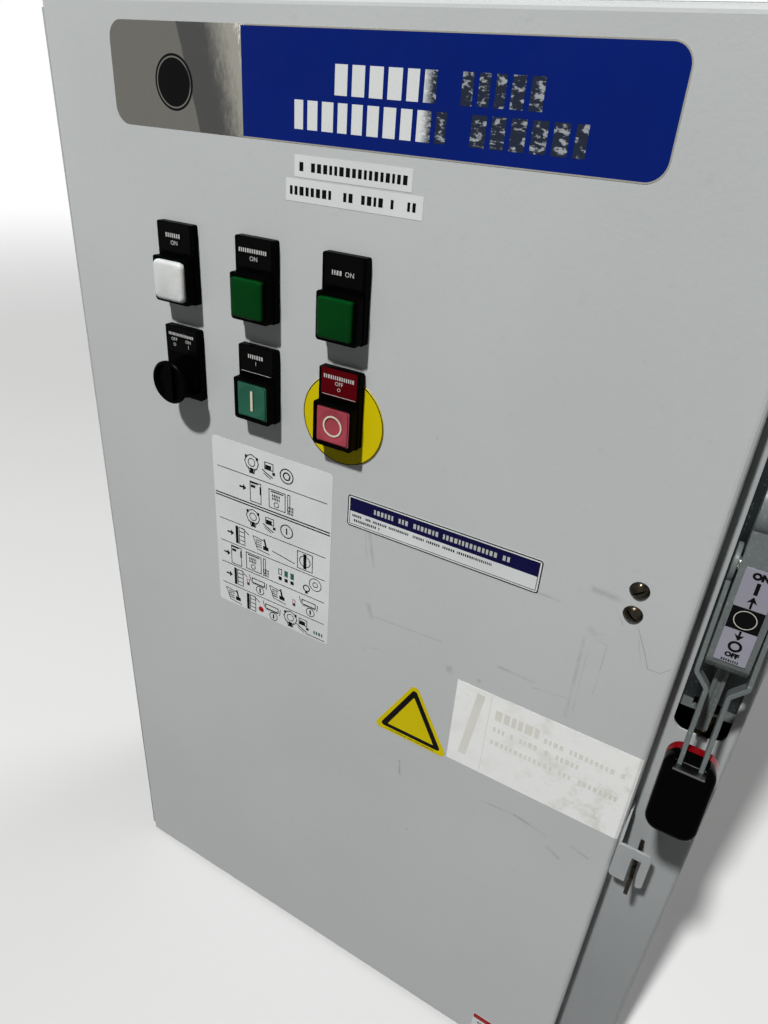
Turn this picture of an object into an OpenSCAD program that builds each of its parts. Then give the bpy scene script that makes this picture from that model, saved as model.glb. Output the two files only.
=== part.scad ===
// Main disconnect panel: a folded steel enclosure on its flat bottom, with a hinged
// door, six pushbutton-size operators, and a flange-mounted lever that throws the
// main breaker through a push-pull cable.
// X runs along the front with 0 at the middle of the body, Y runs into the body
// with 0 at the front flange, and Z runs up with 0 under the body.

/* [Enclosure] */
// Width of the enclosure body
body_w = 508; // [490:1:560]
// Height of the enclosure body
body_h = 794; // [780:1:900]
// Depth of the enclosure body behind its front flange
body_d = 230; // [225:1:300]
// Thickness of the body sheet
body_t = 1.9; // [1.5:0.1:2.5]
// Outside radius of the folded body edges
fold_r = 3; // [2.6:0.2:5]
// Width of the flange strip that the door leaves bare
strip_w = 38; // [37:1:44]
// Width of the gap between the door and the bare strip
door_gap = 5; // [4:0.5:7]
// Width of the flange that the door covers at the handle side
cover_w = 21; // [18:1:24]
// Width of the flange on the other three sides
rim_w = 18; // [16:1:22]
// Height of the rolled lip round the door opening
lip_h = 10; // [8:1:11]
// Radius of the wall mounting holes
wall_hole_r = 4.5; // [3.5:0.5:6]
// Distance of the wall mounting holes from the body sides
wall_hole_in = 34; // [28:1:45]

/* [Door] */
// Depth of the folded door pan
door_d = 18; // [17:1:20]
// Thickness of the door sheet
door_t = 1.9; // [1.5:0.1:2.2]
// Outside radius of the folded door edges
door_r = 4; // [3:0.5:5]
// Height of the door's lower edge over the floor
door_lift = 2; // [1:0.5:6]
// Width of the foam gasket
gasket_w = 12; // [9:1:13]

/* [Hinge] */
// Radius of the hinge knuckles
knuckle_r = 3.5; // [3.2:0.1:4]
// Radius of the hinge pin
pin_r = 1.6; // [1.4:0.1:1.8]
// Number of hinge knuckles, counted on both leaves
knuckles = 25; // [15:2:31]
// Thickness of the hinge leaves
leaf_t = 1.5; // [1:0.1:1.6]
// Width of each hinge leaf
leaf_w = 16; // [12:1:16]

/* [Operators] */
// Distance of the first operator column from the door's hinge edge
op_x = 104.8; // [90:1:130]
// Distance of the lower operator row from the door's lower edge
op_z = 568; // [550:1:580]
// Pitch of the operator columns
op_dx = 64.5; // [52:0.5:75]
// Pitch of the operator rows
op_dz = 67; // [60:1:80]
// Radius of the operator holes in the door
op_r = 11.25; // [11.2:0.05:11.5]
// Width of a legend holder
legend_w = 30; // [29:0.5:34]
// Height of a legend holder
legend_h = 50; // [46:1:56]
// Thickness of a legend holder
legend_t = 5; // [4:0.5:6]
// Width of a square operator head
head_w = 29; // [28:0.5:29.5]
// Depth of a square operator head
head_d = 6.5; // [6:0.5:8]
// Width of the lenses and caps in the heads
cap_w = 24; // [22:0.5:25]
// Height of the pushbutton caps over their heads
cap_proud = 0; // [0:0.1:1.5]
// Travel of the pushbutton caps
cap_travel = 3; // [2:0.5:3.5]
// Height of the lamp lenses over their heads
lens_proud = 3; // [2:0.1:4]
// Radius of the selector knob
knob_r = 15; // [13:0.5:17]
// Distance of the selector knob's face from the door
knob_h = 21; // [20:0.5:26]
// Radius of the yellow disc behind the stop button
disc_r = 30; // [28:1:34]
// Thickness of the yellow disc
disc_t = 0.8; // [0.5:0.1:1.5]

/* [Handle] */
// Height of the lever's pivot over the floor
handle_z = 552; // [545:1:560]
// Distance of the lever's centre line from the body side
handle_in = 21.5; // [20.5:0.5:22]
// Distance of the lever's pivot in front of the flange
pivot_out = 10; // [9.5:0.5:12]
// Angle of the lever away from the flange at each end of its throw
lever_tilt = 18; // [16:1:22]
// Distance from the lever's pivot to the top of its grip
grip_at = 109; // [92:1:115]
// Length of the grip
grip_l = 47.5; // [45:0.5:70]
// Width of the grip
grip_w = 28; // [24:0.5:30]
// Thickness of the grip
grip_d = 24.5; // [20:0.5:28]
// Thickness of the two lever bars
bar_t = 2.5; // [2:0.1:2.8]
// Width of the two lever bars
bar_w = 11; // [9:0.5:12]
// Gap between the two bars at the grip
bar_gap = 9; // [8:0.5:10]
// Width of the lever housing
housing_w = 22; // [21:0.5:22.5]
// Distance of the lever housing's face from the flange
housing_out = 28; // [27:0.5:30]
// Width of the cut-out in the flange
cut_w = 31; // [30.5:0.5:32]
// Length of the cut-out above and below the pivot
cut_l = 129; // [125:1:135]
// Radius of the crank that drives the cable
crank_r = 16; // [14:0.5:17]
// Travel of the lock tongue
tongue_travel = 12; // [8:1:14]
// Travel of the door catch hook
hook_travel = 10; // [9:0.5:11]

/* [Hasp] */
// Height of the hasp's lower edge over the floor
hasp_z = 297; // [260:1:340]
// Height of the hasp's front tab
hasp_h = 33; // [30:1:40]
// Width of the hasp's front tab
hasp_w = 22.5; // [21:0.5:24]
// Thickness of the hasp sheet
hasp_t = 2; // [1.5:0.1:2.5]

/* [Equipment] */
// Space between the mounting panel and the back wall
panel_off = 20; // [15:1:24]
// Thickness of the mounting panel
panel_t = 2.5; // [2:0.1:3.5]
// Width of the main breaker
breaker_w = 105; // [98:1:115]
// Height of the main breaker
breaker_h = 165; // [155:1:175]
// Height of the main breaker's centre over the floor
breaker_z = 620; // [615:1:625]
// Radius of the operating cable's jacket
cable_r = 4; // [3:0.5:5]
// Height of the ends of the cable's curved stretch over the floor
cable_z = 300; // [270:1:330]
// Width of the slotted wire duct
duct_w = 30; // [25:1:34]
// Depth of the slotted wire duct
duct_d = 55; // [40:1:60]
// Number of modular terminals
terminals = 14; // [6:1:16]

/* [Hidden] */
$fn = 48;
fit = 0.3;
seat = 0.05;
eps = 1;

paint = [0.70, 0.71, 0.705];
black = [0.05, 0.05, 0.055];
cast_grey = [0.45, 0.47, 0.46];
slate = [0.16, 0.19, 0.2];
zinc = [0.66, 0.67, 0.68];
white = [0.82, 0.83, 0.83];
green = [0.0, 0.28, 0.08];
start_green = [0.16, 0.5, 0.36];
stop_red = [0.62, 0.16, 0.2];
brass = [0.72, 0.58, 0.3];
moulded = [0.1, 0.1, 0.11];

x_l = -body_w / 2;
x_r = body_w / 2;
door_y = -door_d - 2;
door_back = door_y + door_t;
door_w = body_w - strip_w - door_gap;
door_x1 = x_l + door_w;
door_h = body_h - 2 * door_lift;
open_x0 = x_l + rim_w;
open_x1 = x_r - strip_w - door_gap - cover_w;
open_z0 = rim_w;
open_z1 = body_h - rim_w;

hinge_x = x_l - knuckle_r - 0.2;
hinge_y = -1;
hinge_l = door_h - 16;
knuckle_l = hinge_l / knuckles;

row_z = [for (j = [0, 1]) door_lift + op_z + j * op_dz];
col_x = [for (i = [0:2]) x_l + op_x + i * op_dx];
legend_low = 15;
recess_d = 1;
recess_floor = 0.8;
insert_w = legend_w - 4;
insert_h = legend_h - 2 * legend_low - 2.5;
barrel_r = op_r - 0.25;
barrel_end = door_back + 10;
nut_t = 5;
block_y = door_back + nut_t + fit;
block_d = 44;
stem_r = 4;
places = [for (i = [0:2], j = [0, 1]) [col_x[i], row_z[j], (i == 2 && j == 0) ? disc_t : 0]];
head_places = [for (p = places) if (p[0] != col_x[0] || p[1] != row_z[0]) p];

handle_x = x_r - handle_in;
arm_in = housing_w / 2 + 1;
hub_r = 11;
lever_pin_r = 4;
joggle_at = 62;
joggle_l = arm_in - bar_gap / 2;
joggle_k = bar_t * tan(22.5);
bar_end = grip_at + 40;
housing_low = 60;
housing_top = 54;
cavity_w = housing_w - 5;
barrel_z = 38;
bulge_r = 16;
base_t = 3.1;
base_w = 36;
base_low = 102;
frame_low = 114;
frame_top = 132;
frame_t = 2;
frame_d = 60;
frame_y = body_t + base_t;
stroke = 2 * crank_r * cos(lever_tilt);
pin_z = crank_r * cos(lever_tilt);
crank_t = 7;
crank_end_r = 4.5;
rod_x = handle_x + crank_t / 2 + 2.05;
rod_y = 24;
rod_r = 3;
tube_r = 6;
tube_bore = rod_r + fit;
tube_z0 = handle_z - 157;
tube_l = 60;
tongue_w = 6.6;
tongue_y = -13;
tongue_d = 7;

hook_z = handle_z - 38.5;
hook_h = 10;
hook_y = body_t + 5;
hook_d = 6;
catch_x1 = open_x1 - (gasket_w - body_t) / 2 - fit;
screw_x = catch_x1 - 5.6;
catch_x = screw_x - 8.2;
catch_t = 2;
catch_z = hook_z;
screw_r = 2.5;
screw_head_r = 5.8;
screw_dz = 8.2;

panel_y = body_d - body_t - panel_off - panel_t;
panel_x0 = x_l + 29;
panel_x1 = x_r - 69;
panel_z0 = 45;
panel_z1 = body_h - 44;
stud_r = 4;
stud_in = 14;

breaker_x = panel_x0 + 267.5;
breaker_d = 91;
face_h = 52;
toggle_win = 27;
toggle_l = 46;
pole_w = 24;
breaker_y = panel_y - breaker_d;
toggle_y = breaker_y + 26.3;
toggle_throw = 2 * atan(stroke / 2 / 36);
carriage_y = breaker_y - 11;
carriage_t = 2.5;
carriage_w = 60;
carriage_h = 44;
slide_y = carriage_y + carriage_t / 2;
operator_t = 2.5;
op_tube_z = breaker_z - 115;
op_tube_l = 70;
cable_dx = breaker_x - rod_x;
cable_dy = slide_y - rod_y;
cable_span = sqrt(cable_dx * cable_dx + cable_dy * cable_dy);
cable_turn = atan2(cable_dy, cable_dx);

contactor_x = panel_x0 + 105;
contactor_z = 440;
contactor_w = 90;
contactor_h = 112;
contactor_d = 102;
contactor_mid = 46;
contactor_top = 22;
contactor_pitch = 27;
rail_z = 300;
rail_x0 = panel_x0 + 60;
rail_l = 300;
terminal_w = 8;
terminal_d = 36;
terminal_h = 56;
terminal_x = rail_x0 + 150;
relay_x = rail_x0 + 40;
relay_w = 28;
trafo_x = panel_x0 + 100;
trafo_z = 140;
fuse_x = panel_x0 + 215;
fuse_z = 135;
fuse_pitch = 26;
bar_x = panel_x0 + 320;
bar_z = 110;
bar_l = 110;
duct_x = panel_x0 + 6 + duct_w / 2;
duct_slots = 30;

// Points of a quarter turn, for rounded outlines
function quarter(cx, cy, r, a0, n = 5) =
    [for (i = [0:n]) [cx + r * cos(a0 + 90 * i / n), cy + r * sin(a0 + 90 * i / n)]];

// Rectangle with equal rounded corners, given by two opposite corners
module round_rect(x0, y0, x1, y1, r) {
    polygon(concat(
        quarter(x1 - r, y1 - r, r, 0),
        quarter(x0 + r, y1 - r, r, 90),
        quarter(x0 + r, y0 + r, r, 180),
        quarter(x1 - r, y0 + r, r, 270)));
}

// Box given by its low and high corners
module block(low, high) {
    translate(low)
        cube(high - low);
}

// Extrudes an outline drawn in X and Z from y0 to y1
module along_y(y0, y1) {
    translate([0, y1, 0])
        rotate([90, 0, 0])
            linear_extrude(y1 - y0)
                children();
}

// Extrudes an outline drawn in Y and Z from x0 to x1
module along_x(x0, x1) {
    translate([x0, 0, 0])
        rotate([90, 0, 90])
            linear_extrude(x1 - x0)
                children();
}

// Round bar along Y
module rod_y_dir(x, z, r, y0, y1) {
    translate([x, y0, z])
        rotate([-90, 0, 0])
            cylinder(r = r, h = y1 - y0);
}

// Round bar along Z
module rod_z_dir(x, y, r, z0, z1) {
    translate([x, y, z0])
        cylinder(r = r, h = z1 - z0);
}

// Round bar along X
module rod_x_dir(y, z, r, x0, x1) {
    translate([x0, y, z])
        rotate([0, 90, 0])
            cylinder(r = r, h = x1 - x0);
}

// Hexagonal nut with a round bore along Y
module hex_y_dir(x, z, flats, bore, y0, y1) {
    translate([x, y0, z])
        rotate([-90, 0, 0])
            difference() {
                cylinder(d = flats / cos(30), h = y1 - y0, $fn = 6);
                translate([0, 0, -eps])
                    cylinder(r = bore, h = y1 - y0 + 2 * eps);
            }
}

// The lever's own frame: the lever hangs along -Z and its front looks along -Y
module in_lever() {
    translate([handle_x, -pivot_out, handle_z])
        rotate([-lever_tilt, 0, 0])
            children();
}

// Folded body with a wide flange at the handle side and a lip round the opening
module enclosure() {
    color(paint)
    difference() {
        union() {
            difference() {
                linear_extrude(body_h)
                    round_rect(x_l, 0, x_r, body_d, fold_r);
                block([x_l + body_t, body_t, body_t],
                    [x_r - body_t, body_d - body_t, body_h - body_t]);
            }
            block([open_x0 - body_t, -lip_h, open_z0 - body_t],
                [open_x1 + body_t, body_t, open_z1 + body_t]);
        }
        block([open_x0, -lip_h - eps, open_z0], [open_x1, body_t + eps, open_z1]);
        along_y(-eps, body_t + eps)
            round_rect(handle_x - cut_w / 2, handle_z - cut_l,
                handle_x + cut_w / 2, handle_z + cut_l, 8);
        for (x = [x_l + wall_hole_in, x_r - wall_hole_in],
            z = [wall_hole_in, body_h - wall_hole_in])
            rod_y_dir(x, z, wall_hole_r, body_d - body_t - eps, body_d + eps);
    }
}

// Where the mounting panel's four studs stand
module at_studs() {
    for (x = [panel_x0 + stud_in, panel_x1 - stud_in],
        z = [panel_z0 + stud_in, panel_z1 - stud_in])
        translate([x, 0, z])
            children();
}

// Collar studs welded to the back wall
module wall_studs() {
    color(zinc)
    at_studs() {
        rod_y_dir(0, 0, 9, panel_y + panel_t, body_d - body_t);
        rod_y_dir(0, 0, stud_r, panel_y - 12, panel_y + panel_t);
    }
}

// Equipment panel with edges folded forward
module mounting_panel() {
    fold = 12;
    color(white)
    difference() {
        union() {
            block([panel_x0, panel_y, panel_z0], [panel_x1, panel_y + panel_t, panel_z1]);
            for (x = [panel_x0, panel_x1 - panel_t])
                block([x, panel_y - fold, panel_z0], [x + panel_t, panel_y + panel_t, panel_z1]);
        }
        at_studs()
            rod_y_dir(0, 0, stud_r + fit, panel_y - eps, panel_y + panel_t + eps);
    }
}

// Nuts that hold the mounting panel
module panel_nuts() {
    color(zinc)
    at_studs()
        hex_y_dir(0, 0, 13, stud_r + seat, panel_y - 6.5, panel_y);
}

// Knuckles of one hinge leaf: first is 0 or 1
module hinge_knuckles(first, side) {
    difference() {
        for (i = [first:2:knuckles - 1]) {
            z0 = (body_h - hinge_l) / 2 + i * knuckle_l + fit / 2;
            z1 = z0 + knuckle_l - fit;
            rod_z_dir(hinge_x, hinge_y, knuckle_r, z0, z1);
            block([x_l - leaf_t, hinge_y + (side > 0 ? 0 : -knuckle_r - 1.2), z0],
                [x_l, hinge_y + (side > 0 ? knuckle_r + 1.2 : 0), z1]);
        }
        rod_z_dir(hinge_x, hinge_y, pin_r + seat, 0, body_h);
    }
}

// Hinge leaf welded to the body's side
module hinge_leaf_body() {
    color(paint)
    union() {
        hinge_knuckles(0, 1);
        block([x_l - leaf_t, hinge_y + knuckle_r + 1, (body_h - hinge_l) / 2],
            [x_l, hinge_y + leaf_w + 2, (body_h + hinge_l) / 2]);
    }
}

// Hinge leaf welded to the door's edge
module hinge_leaf_door() {
    color(paint)
    union() {
        hinge_knuckles(1, -1);
        block([x_l - leaf_t, hinge_y - leaf_w - 1, (body_h - hinge_l) / 2],
            [x_l, hinge_y - knuckle_r - 1, (body_h + hinge_l) / 2]);
    }
}

// One long pin through all the knuckles
module hinge_pin() {
    color(zinc)
    rod_z_dir(hinge_x, hinge_y, pin_r, (body_h - hinge_l) / 2 - 1, (body_h + hinge_l) / 2 + 1);
}

// Door outline as folded edges show it, in one direction, open towards back
module pan_profile(a0, a1, r, wall, back) {
    polygon(concat(
        [[a1 - wall, back], [a0 + wall, back]],
        [for (p = quarter(a0 + r, door_y + r, r - wall, 180, 4)) p],
        [for (p = quarter(a1 - r, door_y + r, r - wall, 270, 4)) p]));
}

// Solid that the door pan is cut from, or hollowed by, at a wall thickness
module pan_block(wall, back) {
    intersection() {
        translate([0, 0, door_lift + wall])
            linear_extrude(door_h - 2 * wall)
                pan_profile(x_l, door_x1, door_r, wall, back);
        rotate([0, -90, 0])
            mirror([0, 0, 1])
                translate([0, 0, x_l + wall])
                    linear_extrude(door_w - 2 * wall)
                        pan_profile(door_lift, door_lift + door_h, door_r, wall, back);
    }
}

// Folded door pan with the operator and catch holes
module door_panel() {
    color(paint)
    difference() {
        pan_block(0, door_y + door_d);
        pan_block(door_t, door_y + door_d + eps);
        for (p = places)
            rod_y_dir(p[0], p[1], op_r, door_y - eps, 0);
        for (s = [-1, 1])
            rod_y_dir(screw_x, catch_z + s * screw_dz, screw_r + fit, door_y - eps, 0);
    }
}

// Foam frame on the inside of the door, pressed by the lip
module door_gasket() {
    half = (gasket_w - body_t) / 2;
    color(black)
    difference() {
        block([open_x0 - body_t - half, door_back, open_z0 - body_t - half],
            [open_x1 + body_t + half, -lip_h - fit, open_z1 + body_t + half]);
        block([open_x0 + half, door_back - eps, open_z0 + half],
            [open_x1 - half, 0, open_z1 - half]);
    }
}

// Bracket inside the door that the hook grips through its window
module door_catch() {
    leg_y = hook_y + hook_d + 6;
    color(zinc)
    difference() {
        union() {
            along_y(door_back, door_back + catch_t)
                round_rect(catch_x, catch_z - 18, catch_x1, catch_z + 18, 2);
            along_x(catch_x, catch_x + catch_t)
                round_rect(door_back, catch_z - 12, leg_y, catch_z + 12, 2);
        }
        block([catch_x - eps, hook_y - 1.5, catch_z - hook_h / 2 - 1.5],
            [catch_x + catch_t + eps, hook_y + hook_d + 1.5, catch_z + hook_h / 2 + 1.5]);
        for (s = [-1, 1])
            rod_y_dir(screw_x, catch_z + s * screw_dz, screw_r + seat,
                door_back - eps, door_back + catch_t + eps);
    }
}

// Slotted round-head screws that hold the catch, with their nuts
module catch_screws() {
    rise = 3.2;
    dome_r = (screw_head_r * screw_head_r + rise * rise) / (2 * rise);
    color(brass)
    for (s = [-1, 1])
        translate([screw_x, 0, catch_z + s * screw_dz]) {
            difference() {
                intersection() {
                    rod_y_dir(0, 0, screw_head_r - 0.1, door_y - rise, door_y);
                    translate([0, door_y - rise + dome_r, 0])
                        sphere(r = dome_r, $fn = 64);
                }
                rotate([0, -s * 38, 0])
                    block([-screw_head_r, door_y - rise - eps, -0.6],
                        [screw_head_r, door_y - 1.4, 0.6]);
            }
            rod_y_dir(0, 0, screw_r, door_y, door_back + catch_t + 5);
            hex_y_dir(0, 0, 8, screw_r, door_back + catch_t, door_back + catch_t + 4);
        }
}

// Hasp folded round the door's edge, with a slot open at the bottom
module door_hasp() {
    web_top = hasp_z + hasp_h + 23;
    slot_x = door_x1 + 11;
    color(paint)
    difference() {
        union() {
            along_y(door_y - hasp_t, door_y)
                round_rect(door_x1, hasp_z, door_x1 + hasp_w, hasp_z + hasp_h, 3);
            block([door_x1, door_y - hasp_t, hasp_z + 3],
                [door_x1 + hasp_t, -3, hasp_z + hasp_h - 3]);
            along_x(door_x1, door_x1 + hasp_t)
                polygon([[door_y, hasp_z + hasp_h - 4], [-3, hasp_z + hasp_h - 4],
                    [-3, web_top], [door_y + 8, web_top]]);
        }
        block([slot_x, door_y - hasp_t - eps, hasp_z - eps],
            [slot_x + 6, door_y + eps, hasp_z + hasp_h - 8]);
    }
}

// Staple tab on the flange with a padlock hole in front of the hasp
module hasp_staple() {
    x0 = door_x1 + 12.7;
    tip = door_y - hasp_t - 13;
    z0 = hasp_z + 4;
    z1 = hasp_z + hasp_h - 12;
    color(brass)
    difference() {
        along_x(x0, x0 + 2.6)
            union() {
                round_rect(tip, z0, 0, z1, 2);
                translate([-4, z0])
                    square([4, z1 - z0]);
            }
        rod_x_dir(tip + 7, (z0 + z1) / 2, 4, x0 - eps, x0 + 2.6 + eps);
    }
}

// Black legend holders behind the operator heads
module legend_holders() {
    color(black)
    for (p = places)
        translate([p[0], -p[2], p[1]])
            difference() {
                along_y(door_y - legend_t, door_y)
                    round_rect(-legend_w / 2, -legend_low, legend_w / 2,
                        legend_h - legend_low, 1.5);
                rod_y_dir(0, 0, op_r, door_y - legend_t - eps, door_y + eps);
                block([-insert_w / 2 - seat, door_y - legend_t - eps, legend_low + 2],
                    [insert_w / 2 + seat, door_y - legend_t + recess_d,
                    legend_low + 2 + insert_h + 2 * seat]);
            }
}

// Legend inserts in their recesses
module legend_inserts() {
    color([0.08, 0.08, 0.085])
    for (p = places)
        translate([p[0], -p[2], p[1]])
            block([-insert_w / 2, door_y - legend_t - 0.4, legend_low + 2 + seat],
                [insert_w / 2, door_y - legend_t + recess_d, legend_low + 2 + seat + insert_h]);
}

// Yellow disc behind the stop button
module stop_disc() {
    color("gold")
    difference() {
        rod_y_dir(col_x[2], row_z[0], disc_r, door_y - disc_t, door_y);
        rod_y_dir(col_x[2], row_z[0], op_r, door_y - disc_t - eps, door_y + eps);
    }
}

// Square head with a recess for its lens or cap, and a barrel through the door
module operator_heads() {
    front = door_y - legend_t - head_d;
    color(black)
    for (p = head_places)
        translate([p[0], -p[2], p[1]])
            difference() {
                union() {
                    along_y(front, door_y - legend_t)
                        round_rect(-head_w / 2, -head_w / 2, head_w / 2, head_w / 2, 2);
                    rod_y_dir(0, 0, barrel_r, door_y - legend_t, barrel_end + p[2]);
                }
                along_y(front - eps, door_y - legend_t - recess_floor)
                    round_rect(-cap_w / 2 - fit, -cap_w / 2 - fit,
                        cap_w / 2 + fit, cap_w / 2 + fit, 1.5);
                rod_y_dir(0, 0, stem_r + fit, front, barrel_end + p[2] + eps);
            }
}

// Square lens with softened edges that stands out of its head
module lens(x, z, proud, w) {
    front = door_y - legend_t - head_d - proud;
    back = door_y - legend_t - recess_floor;
    translate([x, 0, z]) {
        along_y(front, front + 0.7)
            round_rect(-w / 2 + 1, -w / 2 + 1, w / 2 - 1, w / 2 - 1, 1.5);
        along_y(front + 0.7, back)
            round_rect(-w / 2, -w / 2, w / 2, w / 2, 1.5);
        rod_y_dir(0, 0, stem_r, back, door_back + 5);
    }
}

// White lens of the power lamp
module power_lens() {
    color([0.85, 0.86, 0.86])
    lens(col_x[0], row_z[1], lens_proud, cap_w);
}

// Green lens of the middle lamp
module run_lens() {
    color(green)
    lens(col_x[1], row_z[1], lens_proud, cap_w);
}

// Green lens of the right lamp
module backup_lens() {
    color(green)
    lens(col_x[2], row_z[1], lens_proud, cap_w);
}

// Sprung cap with a dished face, and its stem
module push_cap(x, z, out) {
    front = door_y - legend_t - head_d - cap_proud - out;
    back = door_y - legend_t - recess_floor - cap_travel - fit - out;
    translate([x, 0, z])
        difference() {
            union() {
                along_y(front, front + 0.7)
                    round_rect(-cap_w / 2 + 1, -cap_w / 2 + 1, cap_w / 2 - 1, cap_w / 2 - 1, 1.5);
                along_y(front + 0.7, back)
                    round_rect(-cap_w / 2, -cap_w / 2, cap_w / 2, cap_w / 2, 1.5);
                rod_y_dir(0, 0, stem_r, back, barrel_end - 5);
            }
            translate([0, front - 62, 0])
                sphere(r = 62.9, $fn = 96);
        }
}

// Green start cap
module start_button() {
    color(start_green)
    push_cap(col_x[1], row_z[0], 0);
}

// Red stop cap
module stop_button() {
    color(stop_red)
    push_cap(col_x[2], row_z[0], disc_t);
}

// Fixed bush of the selector, through the door
module selector_bush() {
    color(black)
    translate([col_x[0], 0, row_z[0]])
        difference() {
            union() {
                rod_y_dir(0, 0, 14, door_y - legend_t - head_d + 2.5, door_y - legend_t);
                rod_y_dir(0, 0, 12.2, door_y - legend_t - head_d, door_y - legend_t - head_d + 2.5);
                rod_y_dir(0, 0, barrel_r, door_y - legend_t, barrel_end);
            }
            rod_y_dir(0, 0, stem_r + 0.1, door_y - legend_t - 8, barrel_end + eps);
        }
}

// Round flared selector knob: a grip bar lies across its dished face
module selector_knob() {
    neck = door_y - legend_t - head_d - fit;
    l = neck - door_y + knob_h;
    dish = 2.6;
    color(black)
    translate([col_x[0], neck, row_z[0]])
        rotate([90, 0, 0])
            union() {
                rotate_extrude()
                    polygon([[0, 0], [10.5, 0], [10.5, 0.3 * l], [knob_r - 1.5, 0.58 * l],
                        [knob_r, 0.8 * l], [knob_r, l - 0.8], [knob_r - 0.8, l],
                        [knob_r - 2, l], [knob_r - 3.4, l - dish], [0, l - dish]]);
                intersection() {
                    cylinder(r = knob_r - 1.6, h = l);
                    translate([-3.2, -knob_r, 0.5 * l])
                        cube([6.4, 2 * knob_r, 0.5 * l]);
                }
                translate([0, 0, neck - barrel_end + 1])
                    cylinder(r = stem_r, h = barrel_end - 1 - neck + eps);
            }
}

// Ring nuts behind the door
module operator_nuts() {
    color(zinc)
    for (p = places)
        hex_y_dir(p[0], p[1], 28, barrel_r + seat, door_back, door_back + nut_t);
}

// Contact and lamp blocks clipped on the barrels
module contact_blocks() {
    color(moulded)
    for (p = places)
        translate([p[0], 0, p[1]])
            difference() {
                union() {
                    along_y(block_y, block_y + 9)
                        round_rect(-15, -16, 15, 16, 2);
                    along_y(block_y + 9, block_y + block_d)
                        round_rect(-14, -20, 14, 20, 1);
                }
                rod_y_dir(0, 0, barrel_r + fit, block_y - eps, barrel_end + 1);
                rod_y_dir(0, 0, stem_r + 1, barrel_end, barrel_end + 8);
                for (s = [-1, 1], u = [-1, 1])
                    rod_y_dir(u * 7, s * 14, 3, block_y + block_d - 6, block_y + block_d + eps);
            }
}

// Dark plate behind the flange that carries the lever housing
module handle_base() {
    color(slate)
    difference() {
        union() {
            along_y(body_t, body_t + base_t)
                round_rect(handle_x - base_w / 2, handle_z - base_low,
                    handle_x + base_w / 2, handle_z + frame_top, 5);
            along_y(-12, body_t)
                round_rect(handle_x - housing_w / 2 + 1, handle_z + housing_top + 3,
                    handle_x + housing_w / 2 - 1, handle_z + cut_l - 8, 3);
        }
        block([handle_x - cavity_w / 2, body_t - eps, handle_z - 34],
            [handle_x + cavity_w / 2, body_t + base_t + eps, handle_z + 34]);
    }
}

// Grey steel frame behind the base, with feet, a back and a shelf for the cable
module mechanism_frame() {
    x0 = handle_x - base_w / 2;
    x1 = handle_x + base_w / 2;
    z0 = handle_z - frame_low;
    z1 = handle_z + frame_top;
    y1 = frame_y + frame_d;
    color(cast_grey)
    difference() {
        union() {
            for (x = [x0, x1 - frame_t])
                block([x, frame_y, z0], [x + frame_t, y1, z1]);
            block([x0, y1 - frame_t, z0], [x1, y1, z1]);
            block([x0, frame_y, z0], [x1, y1, z0 + frame_t]);
            for (x = [x0, x1 - 9.5])
                block([x, frame_y, z0], [x + 9.5, frame_y + frame_t, z1]);
        }
        rod_z_dir(rod_x, rod_y, tube_r + seat, z0 - eps, z0 + frame_t + eps);
        block([x0 - eps, hook_y - fit, hook_z - hook_h / 2 - fit],
            [x0 + 10, hook_y + hook_d + fit, hook_z + hook_h / 2 + fit]);
        for (z = [handle_z - 60, handle_z + 70])
            rod_y_dir(handle_x, z, 14, y1 - frame_t - eps, y1 + eps);
    }
}

// Side view of the lever housing: long face and round lower end
module housing_side() {
    low_r = 10;
    polygon(concat(
        [[body_t, barrel_z], [body_t, -housing_low]],
        [for (i = [0:6]) [-housing_out + low_r - low_r * sin(90 * i / 6),
            -housing_low + low_r - low_r * cos(90 * i / 6)]],
        [[-housing_out, barrel_z]]));
}

// Cast lever housing with a barrel across its top, open at the back
module handle_housing() {
    half = housing_w / 2;
    color(cast_grey)
    translate([handle_x, 0, handle_z])
        difference() {
            intersection() {
                union() {
                    along_x(-half, half)
                        housing_side();
                    rod_x_dir(-15, barrel_z, bulge_r, -half, half);
                }
                along_y(-housing_out - 10, body_t)
                    round_rect(-half, -housing_low, half, housing_top, 4);
            }
            block([-cavity_w / 2, -housing_out + 4, -housing_low + 14],
                [cavity_w / 2, body_t + eps, housing_top - 26]);
            rod_x_dir(-pivot_out, 0, lever_pin_r + 0.08, -half - eps, half + eps);
            block([-tongue_w / 2 - fit, tongue_y - 1.5 - fit, -housing_low - eps],
                [tongue_w / 2 + fit, tongue_y + tongue_d + fit, -housing_low + 15]);
        }
}

// Thin plate on the housing's face for the ON and OFF marks
module handle_nameplate() {
    color(white)
    along_y(-housing_out - 0.8, -housing_out)
        round_rect(handle_x - 8, handle_z - 49, handle_x + 8, handle_z + 9, 0.8);
}

// Padlock tongue with two ribs that slides into the housing
module lock_tongue() {
    z0 = handle_z - 113;
    z1 = handle_z - crank_r - crank_end_r - tongue_travel - 7.5;
    color(cast_grey)
    difference() {
        union() {
            along_y(tongue_y, tongue_y + tongue_d)
                round_rect(handle_x - tongue_w / 2, z0, handle_x + tongue_w / 2, z1, 2);
            for (s = [-1, 1])
                block([handle_x + s * 2.2 - 1, tongue_y - 1.5, z0 + 3],
                    [handle_x + s * 2.2 + 1, tongue_y, z1 - 3]);
        }
        rod_x_dir(tongue_y + 3.5, z0 + 7, 2.2, handle_x - 10, handle_x + 10);
    }
}

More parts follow.
